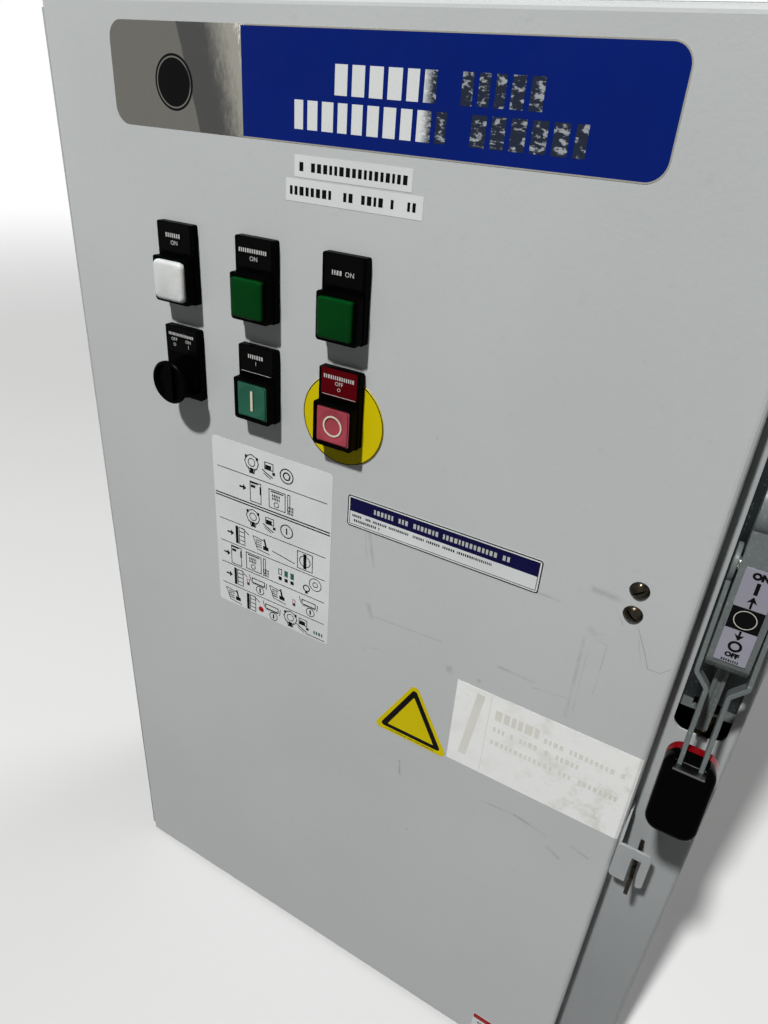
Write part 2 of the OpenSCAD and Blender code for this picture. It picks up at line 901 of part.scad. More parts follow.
// One lever bar that steps inward below the housing
module lever_bar() {
    difference() {
        union() {
            rotate([90, 0, 0])
                translate([0, 0, -bar_w / 2])
                    linear_extrude(bar_w)
                        polygon([[arm_in, 0], [arm_in + bar_t, 0],
                            [arm_in + bar_t, -joggle_at - joggle_k],
                            [bar_gap / 2 + bar_t, -joggle_at - joggle_l - joggle_k],
                            [bar_gap / 2 + bar_t, -bar_end], [bar_gap / 2, -bar_end],
                            [bar_gap / 2, -joggle_at - joggle_l], [arm_in, -joggle_at]]);
            rod_x_dir(0, 0, hub_r, arm_in, arm_in + bar_t);
        }
        rod_x_dir(0, 0, lever_pin_r + seat, arm_in - eps, arm_in + bar_t + eps);
    }
}

// The two bars that straddle the housing
module lever_yoke() {
    color(cast_grey)
    in_lever() {
        lever_bar();
        mirror([1, 0, 0])
            lever_bar();
    }
}

// Pin that turns with the lever in the housing
module lever_pin() {
    tip = arm_in + bar_t;
    color(zinc)
    in_lever()
        rod_x_dir(0, 0, lever_pin_r, -tip, tip);
}

// Crank on the lever pin, inside the housing
module drive_crank() {
    color(zinc)
    in_lever()
        difference() {
            union() {
                rod_x_dir(0, 0, 8.5, -crank_t / 2, crank_t / 2);
                block([-crank_t / 2, -crank_end_r, 0], [crank_t / 2, crank_end_r, crank_r]);
                rod_x_dir(0, crank_r, crank_end_r, -crank_t / 2, crank_t / 2);
                rod_x_dir(0, crank_r, 2.5, 0, crank_t / 2 + 4.3);
            }
            rod_x_dir(0, 0, lever_pin_r + seat, -crank_t, crank_t);
        }
}

// Fork plate and rod that the crank pin drives up and down; the fork stands open
// at the front, so that its tips pass behind the lever pin
module drive_rod() {
    plate_t = 2.5;
    half_h = 9;
    half_slot = 5;
    x0 = rod_x - plate_t / 2;
    zc = handle_z + pin_z;
    tip_y = -pivot_out + lever_pin_r + fit;
    color(zinc)
    union() {
        difference() {
            along_x(x0, x0 + plate_t)
                round_rect(tip_y, zc - half_h, rod_y + rod_r, zc + half_h, 2);
            along_x(x0 - eps, x0 + plate_t + eps)
                round_rect(tip_y - 4, zc - half_slot, crank_r - pivot_out + 5, zc + half_slot, 1);
        }
        rod_z_dir(rod_x, rod_y, rod_r, tube_z0 + 43, zc + half_h);
    }
}

// Half of the grip, seen from its parting face, drawn towards -Y
module grip_half(notch_y) {
    r = 8;
    cx = grip_w / 2 - r;
    difference() {
        hull()
            for (x = [-cx, cx], z = [-grip_at - r, -grip_at - grip_l + r])
                translate([x, 0, z])
                    rotate([90, 0, 0]) {
                        cylinder(r = r, h = grip_d / 2 - 4, $fn = 32);
                        cylinder(r = r - 1.2, h = grip_d / 2 - 1.2, $fn = 32);
                        cylinder(r = r - 4, h = grip_d / 2, $fn = 32);
                    }
        for (s = [-1, 1])
            block([s * (bar_gap + bar_t) / 2 - bar_t / 2 - seat, -bar_w / 2 - seat, -bar_end - seat],
                [s * (bar_gap + bar_t) / 2 + bar_t / 2 + seat, eps, -grip_at + eps]);
        block([-8.6, notch_y, -grip_at - 7], [8.6, eps, -grip_at + eps]);
    }
}

// Black half of the grip, in front when the lever is down
module grip_front() {
    color(black)
    in_lever()
        grip_half(-grip_d);
}

// Red half of the grip, in front when the lever is up
module grip_back() {
    color("crimson")
    in_lever()
        mirror([0, 1, 0])
            grip_half(-bar_w / 2 - 1);
}

// Hook that slides behind the flange into the door catch
module catch_hook() {
    x0 = catch_x - 5.5 + hook_travel;
    color(zinc)
    difference() {
        along_y(hook_y, hook_y + hook_d)
            polygon([[x0, hook_z - 3], [x0 + 4, hook_z - hook_h / 2],
                [handle_x - 8, hook_z - hook_h / 2], [handle_x - 8, hook_z + hook_h / 2],
                [x0 + 4, hook_z + hook_h / 2], [x0, hook_z + 3]]);
        rod_y_dir(handle_x - 13, hook_z, 2.5, hook_y - eps, hook_y + hook_d + eps);
    }
}

// Moulded breaker case with terminal shelves and a pocket for the toggle
module main_breaker() {
    shelf = 21;
    zh = breaker_h / 2;
    color(moulded)
    translate([breaker_x, 0, breaker_z])
        difference() {
            along_y(breaker_y, panel_y)
                round_rect(-breaker_w / 2, -zh, breaker_w / 2, zh, 3);
            for (s = [-1, 1]) {
                block([-breaker_w / 2 - eps, breaker_y - eps, s > 0 ? face_h : -zh - eps],
                    [breaker_w / 2 + eps, breaker_y + shelf, s > 0 ? zh + eps : -face_h]);
                for (i = [-1:1])
                    block([i * breaker_w / 3 - pole_w / 2, breaker_y + shelf - eps,
                        s > 0 ? face_h + 4 : -zh - eps],
                        [i * breaker_w / 3 + pole_w / 2, panel_y - 20,
                        s > 0 ? zh + eps : -face_h - 4]);
            }
            block([-10, breaker_y - eps, -toggle_win], [10, toggle_y, toggle_win]);
            rod_x_dir(toggle_y, 0, toggle_win, -10, 10);
        }
}

// Wire lugs in the breaker's terminal pockets
module breaker_lugs() {
    color(zinc)
    for (s = [-1, 1], i = [-1:1])
        translate([breaker_x + i * breaker_w / 3, 0, breaker_z + s * (breaker_h / 2 - 13)])
            difference() {
                block([-10, panel_y - 44, -9], [10, panel_y - 20, 9]);
                rod_z_dir(0, panel_y - 30, 6, -10, 10);
                rod_y_dir(0, 0, 4, panel_y - 45, panel_y - 30);
            }
}

// Breaker toggle, at its OFF end
module breaker_toggle() {
    color(white)
    translate([breaker_x, toggle_y, breaker_z])
        rotate([toggle_throw / 2, 0, 0])
            union() {
                rod_x_dir(0, 0, 14, -9, 9);
                along_x(-9, 9)
                    round_rect(-toggle_l, -4, -4, 4, 2.5);
            }
}

// Steel bracket on the breaker's face that guides the carriage
module operator_base() {
    wide = carriage_w / 2 + fit + operator_t;
    tab_z = -face_h - operator_t;
    lip_y = carriage_y - fit - 2;
    color(zinc)
    translate([breaker_x, 0, breaker_z])
        difference() {
            union() {
                block([-wide, breaker_y - operator_t, -face_h], [wide, breaker_y, face_h - 2]);
                for (s = [-1, 1]) {
                    block([s > 0 ? wide - operator_t : -wide, lip_y, -face_h],
                        [s > 0 ? wide : operator_t - wide, breaker_y, face_h - 2]);
                    block([s > 0 ? wide - 8 : -wide, lip_y, -face_h],
                        [s > 0 ? wide : 8 - wide, lip_y + 2, face_h - 2]);
                }
                block([-wide, lip_y, tab_z], [wide, breaker_y, tab_z + operator_t]);
            }
            block([-14, breaker_y - operator_t - eps, -toggle_win - 2],
                [14, breaker_y + eps, toggle_win + 2]);
            rod_z_dir(0, slide_y, tube_r + seat, tab_z - eps, tab_z + operator_t + eps);
        }
}

// Carriage that carries the toggle, with its rod into the cable fitting
module operator_slide() {
    zc = breaker_z - stroke / 2;
    half = carriage_w / 2;
    low = carriage_h / 2;
    color(zinc)
    union() {
        translate([breaker_x, 0, zc])
            difference() {
                union() {
                    block([-half, carriage_y, -low], [half, carriage_y + carriage_t, low]);
                    for (s = [-1, 1])
                        block([s > 0 ? half - carriage_t : -half, carriage_y, -low],
                            [s > 0 ? half : carriage_t - half,
                            breaker_y - operator_t - fit, low]);
                }
                block([-11, carriage_y - eps, -6.6], [11, carriage_y + carriage_t + eps, 6.6]);
            }
        rod_z_dir(breaker_x, slide_y, rod_r, op_tube_z + 25, zc - low + 4);
    }
}

// Threaded tubes with nuts at the two ends of the cable
module cable_fittings() {
    color(brass) {
        difference() {
            union() {
                rod_z_dir(rod_x, rod_y, tube_r, tube_z0, tube_z0 + tube_l);
                tube_nuts(rod_x, rod_y, handle_z - frame_low, frame_t);
            }
            rod_z_dir(rod_x, rod_y, tube_bore, tube_z0 + 6, tube_z0 + tube_l + eps);
        }
        difference() {
            union() {
                rod_z_dir(breaker_x, slide_y, tube_r, op_tube_z, op_tube_z + op_tube_l);
                tube_nuts(breaker_x, slide_y, breaker_z - face_h - operator_t, operator_t);
            }
            rod_z_dir(breaker_x, slide_y, tube_bore, op_tube_z + 6, op_tube_z + op_tube_l + eps);
        }
    }
}

// Pair of nuts on both sides of a plate
module tube_nuts(x, y, z, plate) {
    for (z0 = [z - 4, z + plate])
        translate([x, y, z0])
            rotate(30)
                cylinder(r = 7.2, h = 4, $fn = 6);
}

// Push-pull cable in one vertical plane: two sleeved ends and a bare half turn
module operating_cable() {
    sleeve_r = cable_r + 0.4;
    color(black)
    union() {
        rod_z_dir(rod_x, rod_y, sleeve_r, cable_z, tube_z0);
        rod_z_dir(breaker_x, slide_y, sleeve_r, cable_z, op_tube_z);
        translate([(rod_x + breaker_x) / 2, (rod_y + slide_y) / 2, cable_z])
            rotate([0, 0, cable_turn])
                rotate([90, 0, 0])
                    rotate([0, 0, 180])
                        rotate_extrude(angle = 180)
                            translate([cable_span / 2, 0])
                                circle(r = cable_r);
    }
}

// Contactor body with a stepped front, terminal slots and a window
module contactor_base() {
    front = panel_y - contactor_d;
    hw = contactor_w / 2;
    hh = contactor_h / 2;
    color([0.16, 0.16, 0.17])
    translate([contactor_x, 0, contactor_z])
        difference() {
            union() {
                along_y(panel_y - contactor_mid, panel_y)
                    round_rect(-hw, -hh, hw, hh, 2);
                along_y(front + contactor_top, panel_y - contactor_mid)
                    round_rect(-hw, -hh + 12, hw, hh - 12, 2);
                along_y(front, front + contactor_top)
                    round_rect(-hw + 6, -hh + 30, hw - 6, hh - 30, 3);
            }
            for (s = [-1, 1], i = [-1:1])
                block([i * contactor_pitch - 9, panel_y - contactor_mid - 1,
                    s > 0 ? hh - 16 : -hh - eps],
                    [i * contactor_pitch + 9, panel_y - 16, s > 0 ? hh + eps : 16 - hh]);
            block([-12, front - eps, -9], [12, front + 30, 9]);
        }
}

// Terminal clamps in the contactor's slots
module contactor_lugs() {
    color(brass)
    for (s = [-1, 1], i = [-1:1])
        translate([contactor_x + i * contactor_pitch, 0, contactor_z + s * (contactor_h / 2 - 8)])
            difference() {
                block([-7, panel_y - 34, -6], [7, panel_y - 16, 6]);
                rod_y_dir(0, 0, 3, panel_y - 35, panel_y - 24);
            }
}

// Sprung armature block in the contactor's window
module contactor_carrier() {
    front = panel_y - contactor_d;
    color([0.75, 0.62, 0.2])
    translate([contactor_x, 0, contactor_z])
        union() {
            along_y(front - 1.5, front + 24)
                round_rect(-11.5, -8.5, 11.5, 8.5, 1);
            block([-7, front - 3, -2], [7, front - 1.5, 2]);
        }
}

// Laminated core with two windows and four feet
module transformer_core() {
    color([0.3, 0.31, 0.33])
    translate([trafo_x, 0, trafo_z])
        difference() {
            union() {
                block([-48, panel_y - 66, -40], [48, panel_y - 26, 40]);
                for (x = [-48, 36], z = [-40, 28])
                    block([x, panel_y - 26, z], [x + 12, panel_y, z + 12]);
                for (s = [-1, 1])
                    block([-48, panel_y - 2.5, s * 34 - 12], [48, panel_y, s * 34 + 12]);
            }
            for (s = [-1, 1])
                block([s > 0 ? 16 : -32, panel_y - 67, -24], [s > 0 ? 32 : -16, panel_y - 25, 24]);
        }
}

// Winding round the core's middle leg
module transformer_coil() {
    color([0.55, 0.4, 0.16])
    translate([trafo_x, 0, trafo_z])
        difference() {
            along_y(panel_y - 82, panel_y - 10)
                round_rect(-31.5, -23.5, 31.5, 23.5, 3);
            block([-16.2, panel_y - 66.2, -30], [16.2, panel_y - 25.8, 30]);
        }
}

// Fuse base with three pairs of clips
module fuse_block() {
    color(moulded)
    translate([fuse_x, 0, fuse_z]) {
        block([-1.5 * fuse_pitch, panel_y - 14, -42], [1.5 * fuse_pitch, panel_y, 42]);
        for (i = [-1:1], s = [-1, 1])
            translate([i * fuse_pitch, 0, s * 28])
                difference() {
                    block([-9.5, panel_y - 34, -5], [9.5, panel_y - 14, 5]);
                    translate([0, panel_y - 28, -6])
                        cylinder(r = 7.1, h = 12);
                    block([-4.5, panel_y - 40, -6], [4.5, panel_y - 28, 6]);
                }
    }
}

// Three cartridge fuses in the clips
module fuses() {
    color([0.78, 0.76, 0.7])
    for (i = [-1:1])
        translate([fuse_x + i * fuse_pitch, panel_y - 28, fuse_z]) {
            translate([0, 0, -36])
                cylinder(r = 7, h = 72);
        }
}

// Top-hat rail for the relays and terminals
module din_rail() {
    color(zinc)
    translate([0, panel_y, rail_z])
        along_x(rail_x0, rail_x0 + rail_l)
            polygon([[0, -12.5], [0, 12.5], [-6.5, 12.5], [-6.5, 17.5], [-7.5, 17.5],
                [-7.5, 11.5], [-1, 11.5], [-1, -11.5], [-7.5, -11.5], [-7.5, -17.5],
                [-6.5, -17.5], [-6.5, -12.5]]);
}

// Row of modular terminals clipped on the rail
module terminal_block() {
    zt = terminal_h / 2;
    color([0.6, 0.6, 0.58])
    for (i = [0:terminals - 1])
        translate([terminal_x + i * (terminal_w + 0.2), panel_y - 7.5, rail_z])
            difference() {
                along_x(0, terminal_w)
                    polygon([[0, 4 - zt], [0, zt - 4], [-10, zt], [12 - terminal_d, zt],
                        [10 - terminal_d, zt / 2], [-terminal_d, zt / 2],
                        [-terminal_d, -zt / 2], [10 - terminal_d, -zt / 2],
                        [12 - terminal_d, -zt], [-10, -zt]]);
                for (s = [-1, 1]) {
                    rod_y_dir(terminal_w / 2, s * 8, 2.4, -terminal_d - 1, 12 - terminal_d);
                    rod_y_dir(terminal_w / 2, s * (zt - 7), 2.2, 8 - terminal_d, 18 - terminal_d);
                }
            }
}

// Relay sockets clipped on the rail
module relay_sockets() {
    color(moulded)
    for (i = [0, 1])
        translate([relay_x + i * (relay_w + 6), panel_y - 7.5, rail_z])
            difference() {
                union() {
                    block([-relay_w / 2, -18, -38], [relay_w / 2, 0, 38]);
                    for (s = [-1, 1])
                        block([-relay_w / 2, -30, s > 0 ? 20 : -38],
                            [relay_w / 2, -18, s > 0 ? 38 : -20]);
                }
                for (s = [-1, 1], u = [-1, 0, 1])
                    rod_y_dir(u * 8.5, s * 30, 2.8, -31, -24);
            }
}

// Plug-in relays in their sockets
module control_relays() {
    color([0.75, 0.78, 0.8])
    for (i = [0, 1])
        translate([relay_x + i * (relay_w + 6), panel_y - 7.5, rail_z]) {
            along_y(-62, -18)
                round_rect(-relay_w / 2 + 1, -19, relay_w / 2 - 1, 19, 2);
        }
}

// Ground bar on two feet
module ground_bar() {
    color(brass)
    translate([bar_x, 0, bar_z])
        difference() {
            union() {
                block([-bar_l / 2, panel_y - 18, -6], [bar_l / 2, panel_y - 10, 6]);
                for (s = [-1, 1])
                    rod_y_dir(s * (bar_l / 2 - 8), 0, 5, panel_y - 10, panel_y);
            }
            for (i = [-3:3]) {
                rod_y_dir(i * 11.5, 0, 2.5, panel_y - 19, panel_y - 9);
            }
        }
}

// Clamp screws in the ground bar
module ground_screws() {
    color(zinc)
    for (i = [-3:3])
        translate([bar_x + i * 11.5, 0, bar_z]) {
            rod_y_dir(0, 0, 2.45, panel_y - 18, panel_y - 12);
            rod_y_dir(0, 0, 4, panel_y - 21, panel_y - 18);
        }
}

// Slotted wire duct with a snap-on cover
module wire_duct() {
    z0 = panel_z0 + 30;
    z1 = panel_z1 - 30;
    wall = 1.8;
    pitch = (z1 - z0) / duct_slots;
    color([0.55, 0.56, 0.57])
    translate([duct_x, 0, 0])
        union() {
            difference() {
                block([-duct_w / 2, panel_y - duct_d, z0], [duct_w / 2, panel_y, z1]);
                block([-duct_w / 2 + wall, panel_y - duct_d - eps, z0 - eps],
                    [duct_w / 2 - wall, panel_y - wall, z1 + eps]);
                for (i = [1:duct_slots - 1])
                    block([-duct_w, panel_y - duct_d + 6, z0 + i * pitch - 3],
                        [duct_w, panel_y - 14, z0 + i * pitch + 3]);
            }
            block([-duct_w / 2 - wall, panel_y - duct_d - wall, z0],
                [duct_w / 2 + wall, panel_y - duct_d, z1]);
        }
}

enclosure();
wall_studs();
mounting_panel();
panel_nuts();
hinge_leaf_body();
hinge_leaf_door();
hinge_pin();
main_breaker();
breaker_lugs();
breaker_toggle();
operator_base();
operator_slide();
operating_cable();
cable_fittings();
handle_base();
mechanism_frame();
handle_housing();
handle_nameplate();
lock_tongue();
lever_yoke();
lever_pin();
drive_crank();
drive_rod();
grip_front();
grip_back();
catch_hook();
hasp_staple();
door_hasp();
contactor_base();
contactor_carrier();
contactor_lugs();
transformer_core();
transformer_coil();
fuse_block();
fuses();
din_rail();
terminal_block();
relay_sockets();
control_relays();
ground_bar();
ground_screws();
wire_duct();
door_panel();
door_gasket();
door_catch();
catch_screws();
legend_holders();
legend_inserts();
stop_disc();
operator_heads();
power_lens();
run_lens();
backup_lens();
start_button();
stop_button();
selector_bush();
selector_knob();
operator_nuts();
contact_blocks();
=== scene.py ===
# %% [markdown]
# # Main disconnect panel
# A painted steel enclosure stands on the floor. Its door carries six operators and a
# set of stickers, and a lever at the right throws the main breaker inside. The solids
# come from the CAD model. This script gives them finishes, adds the thin printed
# things and the rounder forms that the CAD model doesn't hold, and sets up the floor,
# the light and the camera.
# The frame is loaded first, because every later piece is placed by it.

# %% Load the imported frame
import math

import bmesh
import bpy
from mathutils import Matrix, Vector


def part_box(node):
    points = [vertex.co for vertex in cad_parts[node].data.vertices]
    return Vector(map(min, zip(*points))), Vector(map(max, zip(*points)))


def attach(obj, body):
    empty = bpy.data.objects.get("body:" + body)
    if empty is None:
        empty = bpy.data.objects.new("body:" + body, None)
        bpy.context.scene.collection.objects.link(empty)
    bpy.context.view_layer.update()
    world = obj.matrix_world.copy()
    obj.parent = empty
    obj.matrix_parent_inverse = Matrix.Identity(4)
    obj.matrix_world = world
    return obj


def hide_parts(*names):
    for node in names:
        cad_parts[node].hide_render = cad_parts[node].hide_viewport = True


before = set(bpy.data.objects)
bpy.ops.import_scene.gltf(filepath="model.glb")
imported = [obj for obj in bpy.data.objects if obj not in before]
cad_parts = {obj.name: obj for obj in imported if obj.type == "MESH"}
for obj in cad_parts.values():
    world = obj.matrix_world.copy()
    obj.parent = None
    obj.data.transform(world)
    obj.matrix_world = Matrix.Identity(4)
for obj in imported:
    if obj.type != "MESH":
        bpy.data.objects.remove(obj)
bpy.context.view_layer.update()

# %% [markdown]
# ## The camera
# The picture was taken by hand, close in front of the door and near its top, right of
# its middle, with a wide lens that looks left and down. Its place and turn were fitted
# to the corners of the door and the operators, so the numbers below are measured, not
# chosen. The three columns are the camera's right, up and backward directions.

# %% Camera
camera_at = Vector((0.21112, -0.38560, 0.75340))
camera_turn = Matrix((
    (0.86015, -0.30187, 0.41111),
    (0.50581, 0.40134, -0.76360),
    (0.06552, 0.86475, 0.49791)))
lens_mm = 25.79

camera_data = bpy.data.cameras.new("photo_camera")
camera_data.lens = lens_mm
camera_data.sensor_width = 36
camera_data.clip_start = 0.01
camera = bpy.data.objects.new("photo_camera", camera_data)
camera.matrix_world = Matrix.Translation(camera_at) @ camera_turn.to_4x4()
bpy.context.scene.collection.objects.link(camera)
bpy.context.scene.camera = camera
print("camera at", [round(c, 3) for c in camera.location])

# %% [markdown]
# ## Small helpers for node trees
# A finish is a small tree of nodes. One helper adds a node, sets its options and fills
# its sockets, so that each finish below reads like a recipe. The others work in the
# tree of the socket that they are given: its id_data.
# Every pattern reads Object coordinates: all the objects sit at the origin, so those
# are metres in the frame of the CAD model, and a pattern stays put on its piece.

# %% Node helpers
def fill(node, inputs):
    """Give sockets, by name or number, a value or a link from another socket."""
    for key, value in dict(inputs).items():
        if isinstance(value, bpy.types.NodeSocket):
            node.id_data.links.new(value, node.inputs[key])
        else:
            node.inputs[key].default_value = value


def add(tree, kind, inputs=(), **settings):
    """Add a node, set its options and fill its sockets."""
    made = tree.nodes.new(kind)
    for name, value in settings.items():
        setattr(made, name, value)
    fill(made, inputs)
    return made


def rgba(colour, gain=1.0):
    """A colour written as in a picture, from 0 to 255, as Blender's linear colour."""
    linear = [(c / 255 / 12.92) if c <= 10 else ((c / 255 + 0.055) / 1.055) ** 2.4
              for c in colour]
    return (*[min(1.0, gain * c) for c in linear], 1.0)


def mixed(factor, first, second):
    """The colour between two colours or colour sockets."""
    made = add(factor.id_data, "ShaderNodeMix", {0: factor, 6: first, 7: second},
               data_type="RGBA")
    return made.outputs[2]


def noise(place, scale, detail=2.0, rough=0.5, stretch=None):
    """Soft noise at a scale in waves per metre, drawn out along one axis if asked."""
    tree = place.id_data
    if stretch:
        place = add(tree, "ShaderNodeMapping", {"Vector": place, "Scale": stretch}).outputs[0]
    made = add(tree, "ShaderNodeTexNoise",
               {"Vector": place, "Scale": scale, "Detail": detail, "Roughness": rough})
    return made.outputs["Fac"]


def ramp(value, low, high, to_low=0.0, to_high=1.0):
    """Map a value from one range to another, smoothly and clamped."""
    made = add(value.id_data, "ShaderNodeMapRange",
               {"Value": value, "From Min": low, "From Max": high,
                "To Min": to_low, "To Max": to_high}, interpolation_type="SMOOTHSTEP")
    return made.outputs[0]


def maths(operation, first, second=0.0):
    """One sum, maximum and so on, of a socket and a socket or number."""
    return add(first.id_data, "ShaderNodeMath", {0: first, 1: second},
               operation=operation).outputs[0]


def times(first, second):
    return maths("MULTIPLY", first, second)


def xyz(place):
    """The three outputs of a place taken apart."""
    return add(place.id_data, "ShaderNodeSeparateXYZ", {0: place}).outputs


print("node helpers ready")

# %% [markdown]
# ## Small helpers for materials
# A new material starts with a shader and with Object coordinates, and a made one can be
# opened again to draw more into it. Most patterns are soft noise, stretched over a
# range of roughness or of shades of one colour.

# %% Material helpers
def opened(material):
    """A material's tree, its shader and its Object coordinates."""
    tree = material.node_tree
    place = next(n for n in tree.nodes if n.type == "TEX_COORD").outputs["Object"]
    return tree, tree.nodes["Principled BSDF"], place


def begin(name):
    """A new material, with its tree, its shader and its Object coordinates."""
    material = bpy.data.materials.new(name)
    material.use_nodes = True
    material.node_tree.nodes.new("ShaderNodeTexCoord")
    return (material, *opened(material))


def bumped(shader, height, distance):
    """Let a height in 0 to 1 tilt the surface as if it were that many metres high."""
    made = add(shader.id_data, "ShaderNodeBump", {"Height": height, "Distance": distance})
    fill(shader, {"Normal": made.outputs[0]})


def spread(value, low=0.0, high=1.0):
    """Stretch soft noise, which stays mostly within 0.3 and 0.7, over a range."""
    return ramp(value, 0.3, 0.7, low, high)


def clouded(value, colour, darker, lighter):
    """A colour that soft noise makes a little darker here and lighter there."""
    return mixed(spread(value), rgba(colour, darker), rgba(colour, lighter))


print("material helpers ready")

# %% [markdown]
# ## The floor
# The floor is plain and pale. It fades to white far away, but only for rays that look
# at it, so the background stays pale without adding light to the object.

# %% Floor
def looking_rays(tree):
    """1 for a ray of the camera, of a mirror or through clear plastic, otherwise 0."""
    path = add(tree, "ShaderNodeLightPath").outputs
    return maths("MAXIMUM", path["Is Camera Ray"],
                 maths("MAXIMUM", path["Is Glossy Ray"], path["Is Transmission Ray"]))


def make_floor():
    half, low = 30, -0.0003
    fade_from, fade_to = 1.2, 5.0
    mesh = bpy.data.meshes.new("floor")
    mesh.from_pydata([(-half, -half, low), (half, -half, low), (half, half, low),
                      (-half, half, low)], [], [(0, 1, 2, 3)])
    floor = bpy.data.objects.new("floor", mesh)
    bpy.context.scene.collection.objects.link(floor)
    material, tree, shader, place = begin("pale_floor")
    seen = looking_rays(tree)
    tone = mixed(seen, (0.12, 0.12, 0.12, 1), (0.60, 0.60, 0.595, 1))
    fill(shader, {"Base Color": tone, "Roughness": 0.9, "Specular IOR Level": 0.1})
    distance = add(tree, "ShaderNodeVectorMath", {0: place}, operation="LENGTH").outputs["Value"]
    far = times(ramp(distance, fade_from, fade_to), seen)
    glow = add(tree, "ShaderNodeEmission", {"Color": (1, 1, 1, 1), "Strength": 1.0})
    blend = add(tree, "ShaderNodeMixShader",
                {0: far, 1: shader.outputs[0], 2: glow.outputs[0]})
    fill(tree.nodes["Material Output"], {"Surface": blend.outputs[0]})
    mesh.materials.append(material)


make_floor()
print("floor ready")

# %% [markdown]
# ## Light
# The key lamp stands in front and above, between 4 and 5 m away. It is small, so the
# operators throw clear shadows down the door, and near enough to light the top of the
# door a little more than the foot. A wide, soft lamp stands behind the part, and the
# world fills the rest.

# %% World and lamps
def make_world():
    world = bpy.data.worlds.new("studio")
    world.use_nodes = True
    tree = world.node_tree
    tree.nodes.clear()
    fill_light, seen_light = 0.06, 1.0
    strength = ramp(looking_rays(tree), 0, 1, fill_light, seen_light)
    sky = add(tree, "ShaderNodeBackground", {"Color": (1, 1, 1, 1), "Strength": strength})
    add(tree, "ShaderNodeOutputWorld", {0: sky.outputs[0]})
    bpy.context.scene.world = world


def make_lamp(name, at, watts, radius):
    data = bpy.data.lights.new(name, "POINT")
    data.energy = watts
    data.shadow_soft_size = radius
    lamp = bpy.data.objects.new(name, data)
    lamp.location = at
    bpy.context.scene.collection.objects.link(lamp)


make_world()
make_lamp("key_lamp", (-0.36, -2.59, 4.21), 1190, 0.13)
make_lamp("back_lamp", (2.5, 4.5, 4.0), 700, 1.2)
bpy.context.scene.view_settings.view_transform = "Standard"
print("world and two lamps ready")

# %% [markdown]
# ## Powder coat
# The enclosure, the door and the hasp carry a light grey baked powder coat. Close up
# such a coat is never flat: it has the low, even waves called orange peel, a slightly
# cloudy tone, and a little dirt. Two noises make the waves, one the clouds and one the
# dirt. The enclosure is a little darker than its door, and darker still near the floor.

# %% Powder coat
def powder_coat(name, colour, rough=0.42, foot=0.0):
    """Painted sheet steel; foot is how much darker its colour gets near the floor."""
    peel, dirt = 0.00006, 0.06
    foot_low, foot_high = 0.16, 0.50
    material, tree, shader, place = begin(name)
    clouds = noise(place, 5.0, 4.0)
    specks = noise(place, 160.0, 2.0)
    grime = times(ramp(specks, 0.62, 0.80), dirt)
    tone = mixed(grime, clouded(clouds, colour, 0.965, 1.03), rgba((96, 94, 88)))
    # Below half a metre the colour darkens towards the floor, as far as foot says.
    if foot > 0:
        height = maths("ADD", xyz(place)["Z"], times(clouds, 0.12))
        darker_near_floor = times(ramp(height, foot_low, foot_high, 1.0, 0.0), foot)
        tone = mixed(darker_near_floor, tone, rgba((92, 94, 96)))
    fill(shader, {"Base Color": tone,
                  "Roughness": spread(clouds, rough - 0.04, rough + 0.05),
                  "Specular IOR Level": 0.25})
    waves = maths("ADD", noise(place, 420.0, 1.0), times(noise(place, 1500.0, 1.0), 0.35))
    bumped(shader, waves, peel)
    return material


body_paint = powder_coat("body_paint", (154, 157, 157), foot=0.5)
panel_paint = powder_coat("panel_paint", (206, 207, 204), rough=0.35)
print("powder coats:", body_paint.name, panel_paint.name)

# %% [markdown]
# ## Door paint with its marks
# The door has the same coat, but years of use left marks on it: a ghost of old tape,
# smudges, and hairline scratches by the screws. They belong to the paint, so they are
# drawn in its tree. A small group of nodes says whether a point of the door lies in a
# thin turned box.

# %% The shape of a mark
def mark_group():
    """A node group: 1 inside a turned box in X and Z on the door's face, 0 outside."""
    tree = bpy.data.node_groups.new("door_mark", "ShaderNodeTree")
    face = tree.interface
    face.new_socket("Place", in_out="INPUT", socket_type="NodeSocketVector")
    for name in ("Middle X", "Middle Z", "Half X", "Half Z", "Turn", "Soft"):
        face.new_socket(name, in_out="INPUT", socket_type="NodeSocketFloat")
    face.new_socket("Mark", in_out="OUTPUT", socket_type="NodeSocketFloat")
    inside = tree.nodes.new("NodeGroupInput").outputs
    middle = add(tree, "ShaderNodeCombineXYZ", {0: inside["Middle X"], 2: inside["Middle Z"]})
    turned = add(tree, "ShaderNodeVectorRotate",
                 {"Vector": inside["Place"], "Center": middle.outputs[0],
                  "Axis": (0, 1, 0), "Angle": inside["Turn"]})
    away = add(tree, "ShaderNodeVectorMath", {0: turned.outputs[0], 1: middle.outputs[0]},
               operation="SUBTRACT")
    parts = xyz(add(tree, "ShaderNodeVectorMath", {0: away.outputs[0]},
                    operation="ABSOLUTE").outputs[0])
    over = maths("MAXIMUM", maths("SUBTRACT", parts[0], inside["Half X"]),
                 maths("SUBTRACT", parts[2], inside["Half Z"]))
    edge = maths("DIVIDE", over, inside["Soft"])
    out = tree.nodes.new("NodeGroupOutput")
    tree.links.new(ramp(edge, -1.0, 1.0, 1.0, 0.0), out.inputs[0])
    return tree


MARK_GROUP = mark_group()
print("a mark is drawn by", len(MARK_GROUP.nodes), "nodes")

# %% [markdown]
# ## Where the marks are
# Each mark runs from x, z to x, z with a half width, a softness and a strength. The
# lengths are in mm, in the frame of the CAD model. Each mark uses the group with its
# own numbers, and a patchy noise thins it here and there.

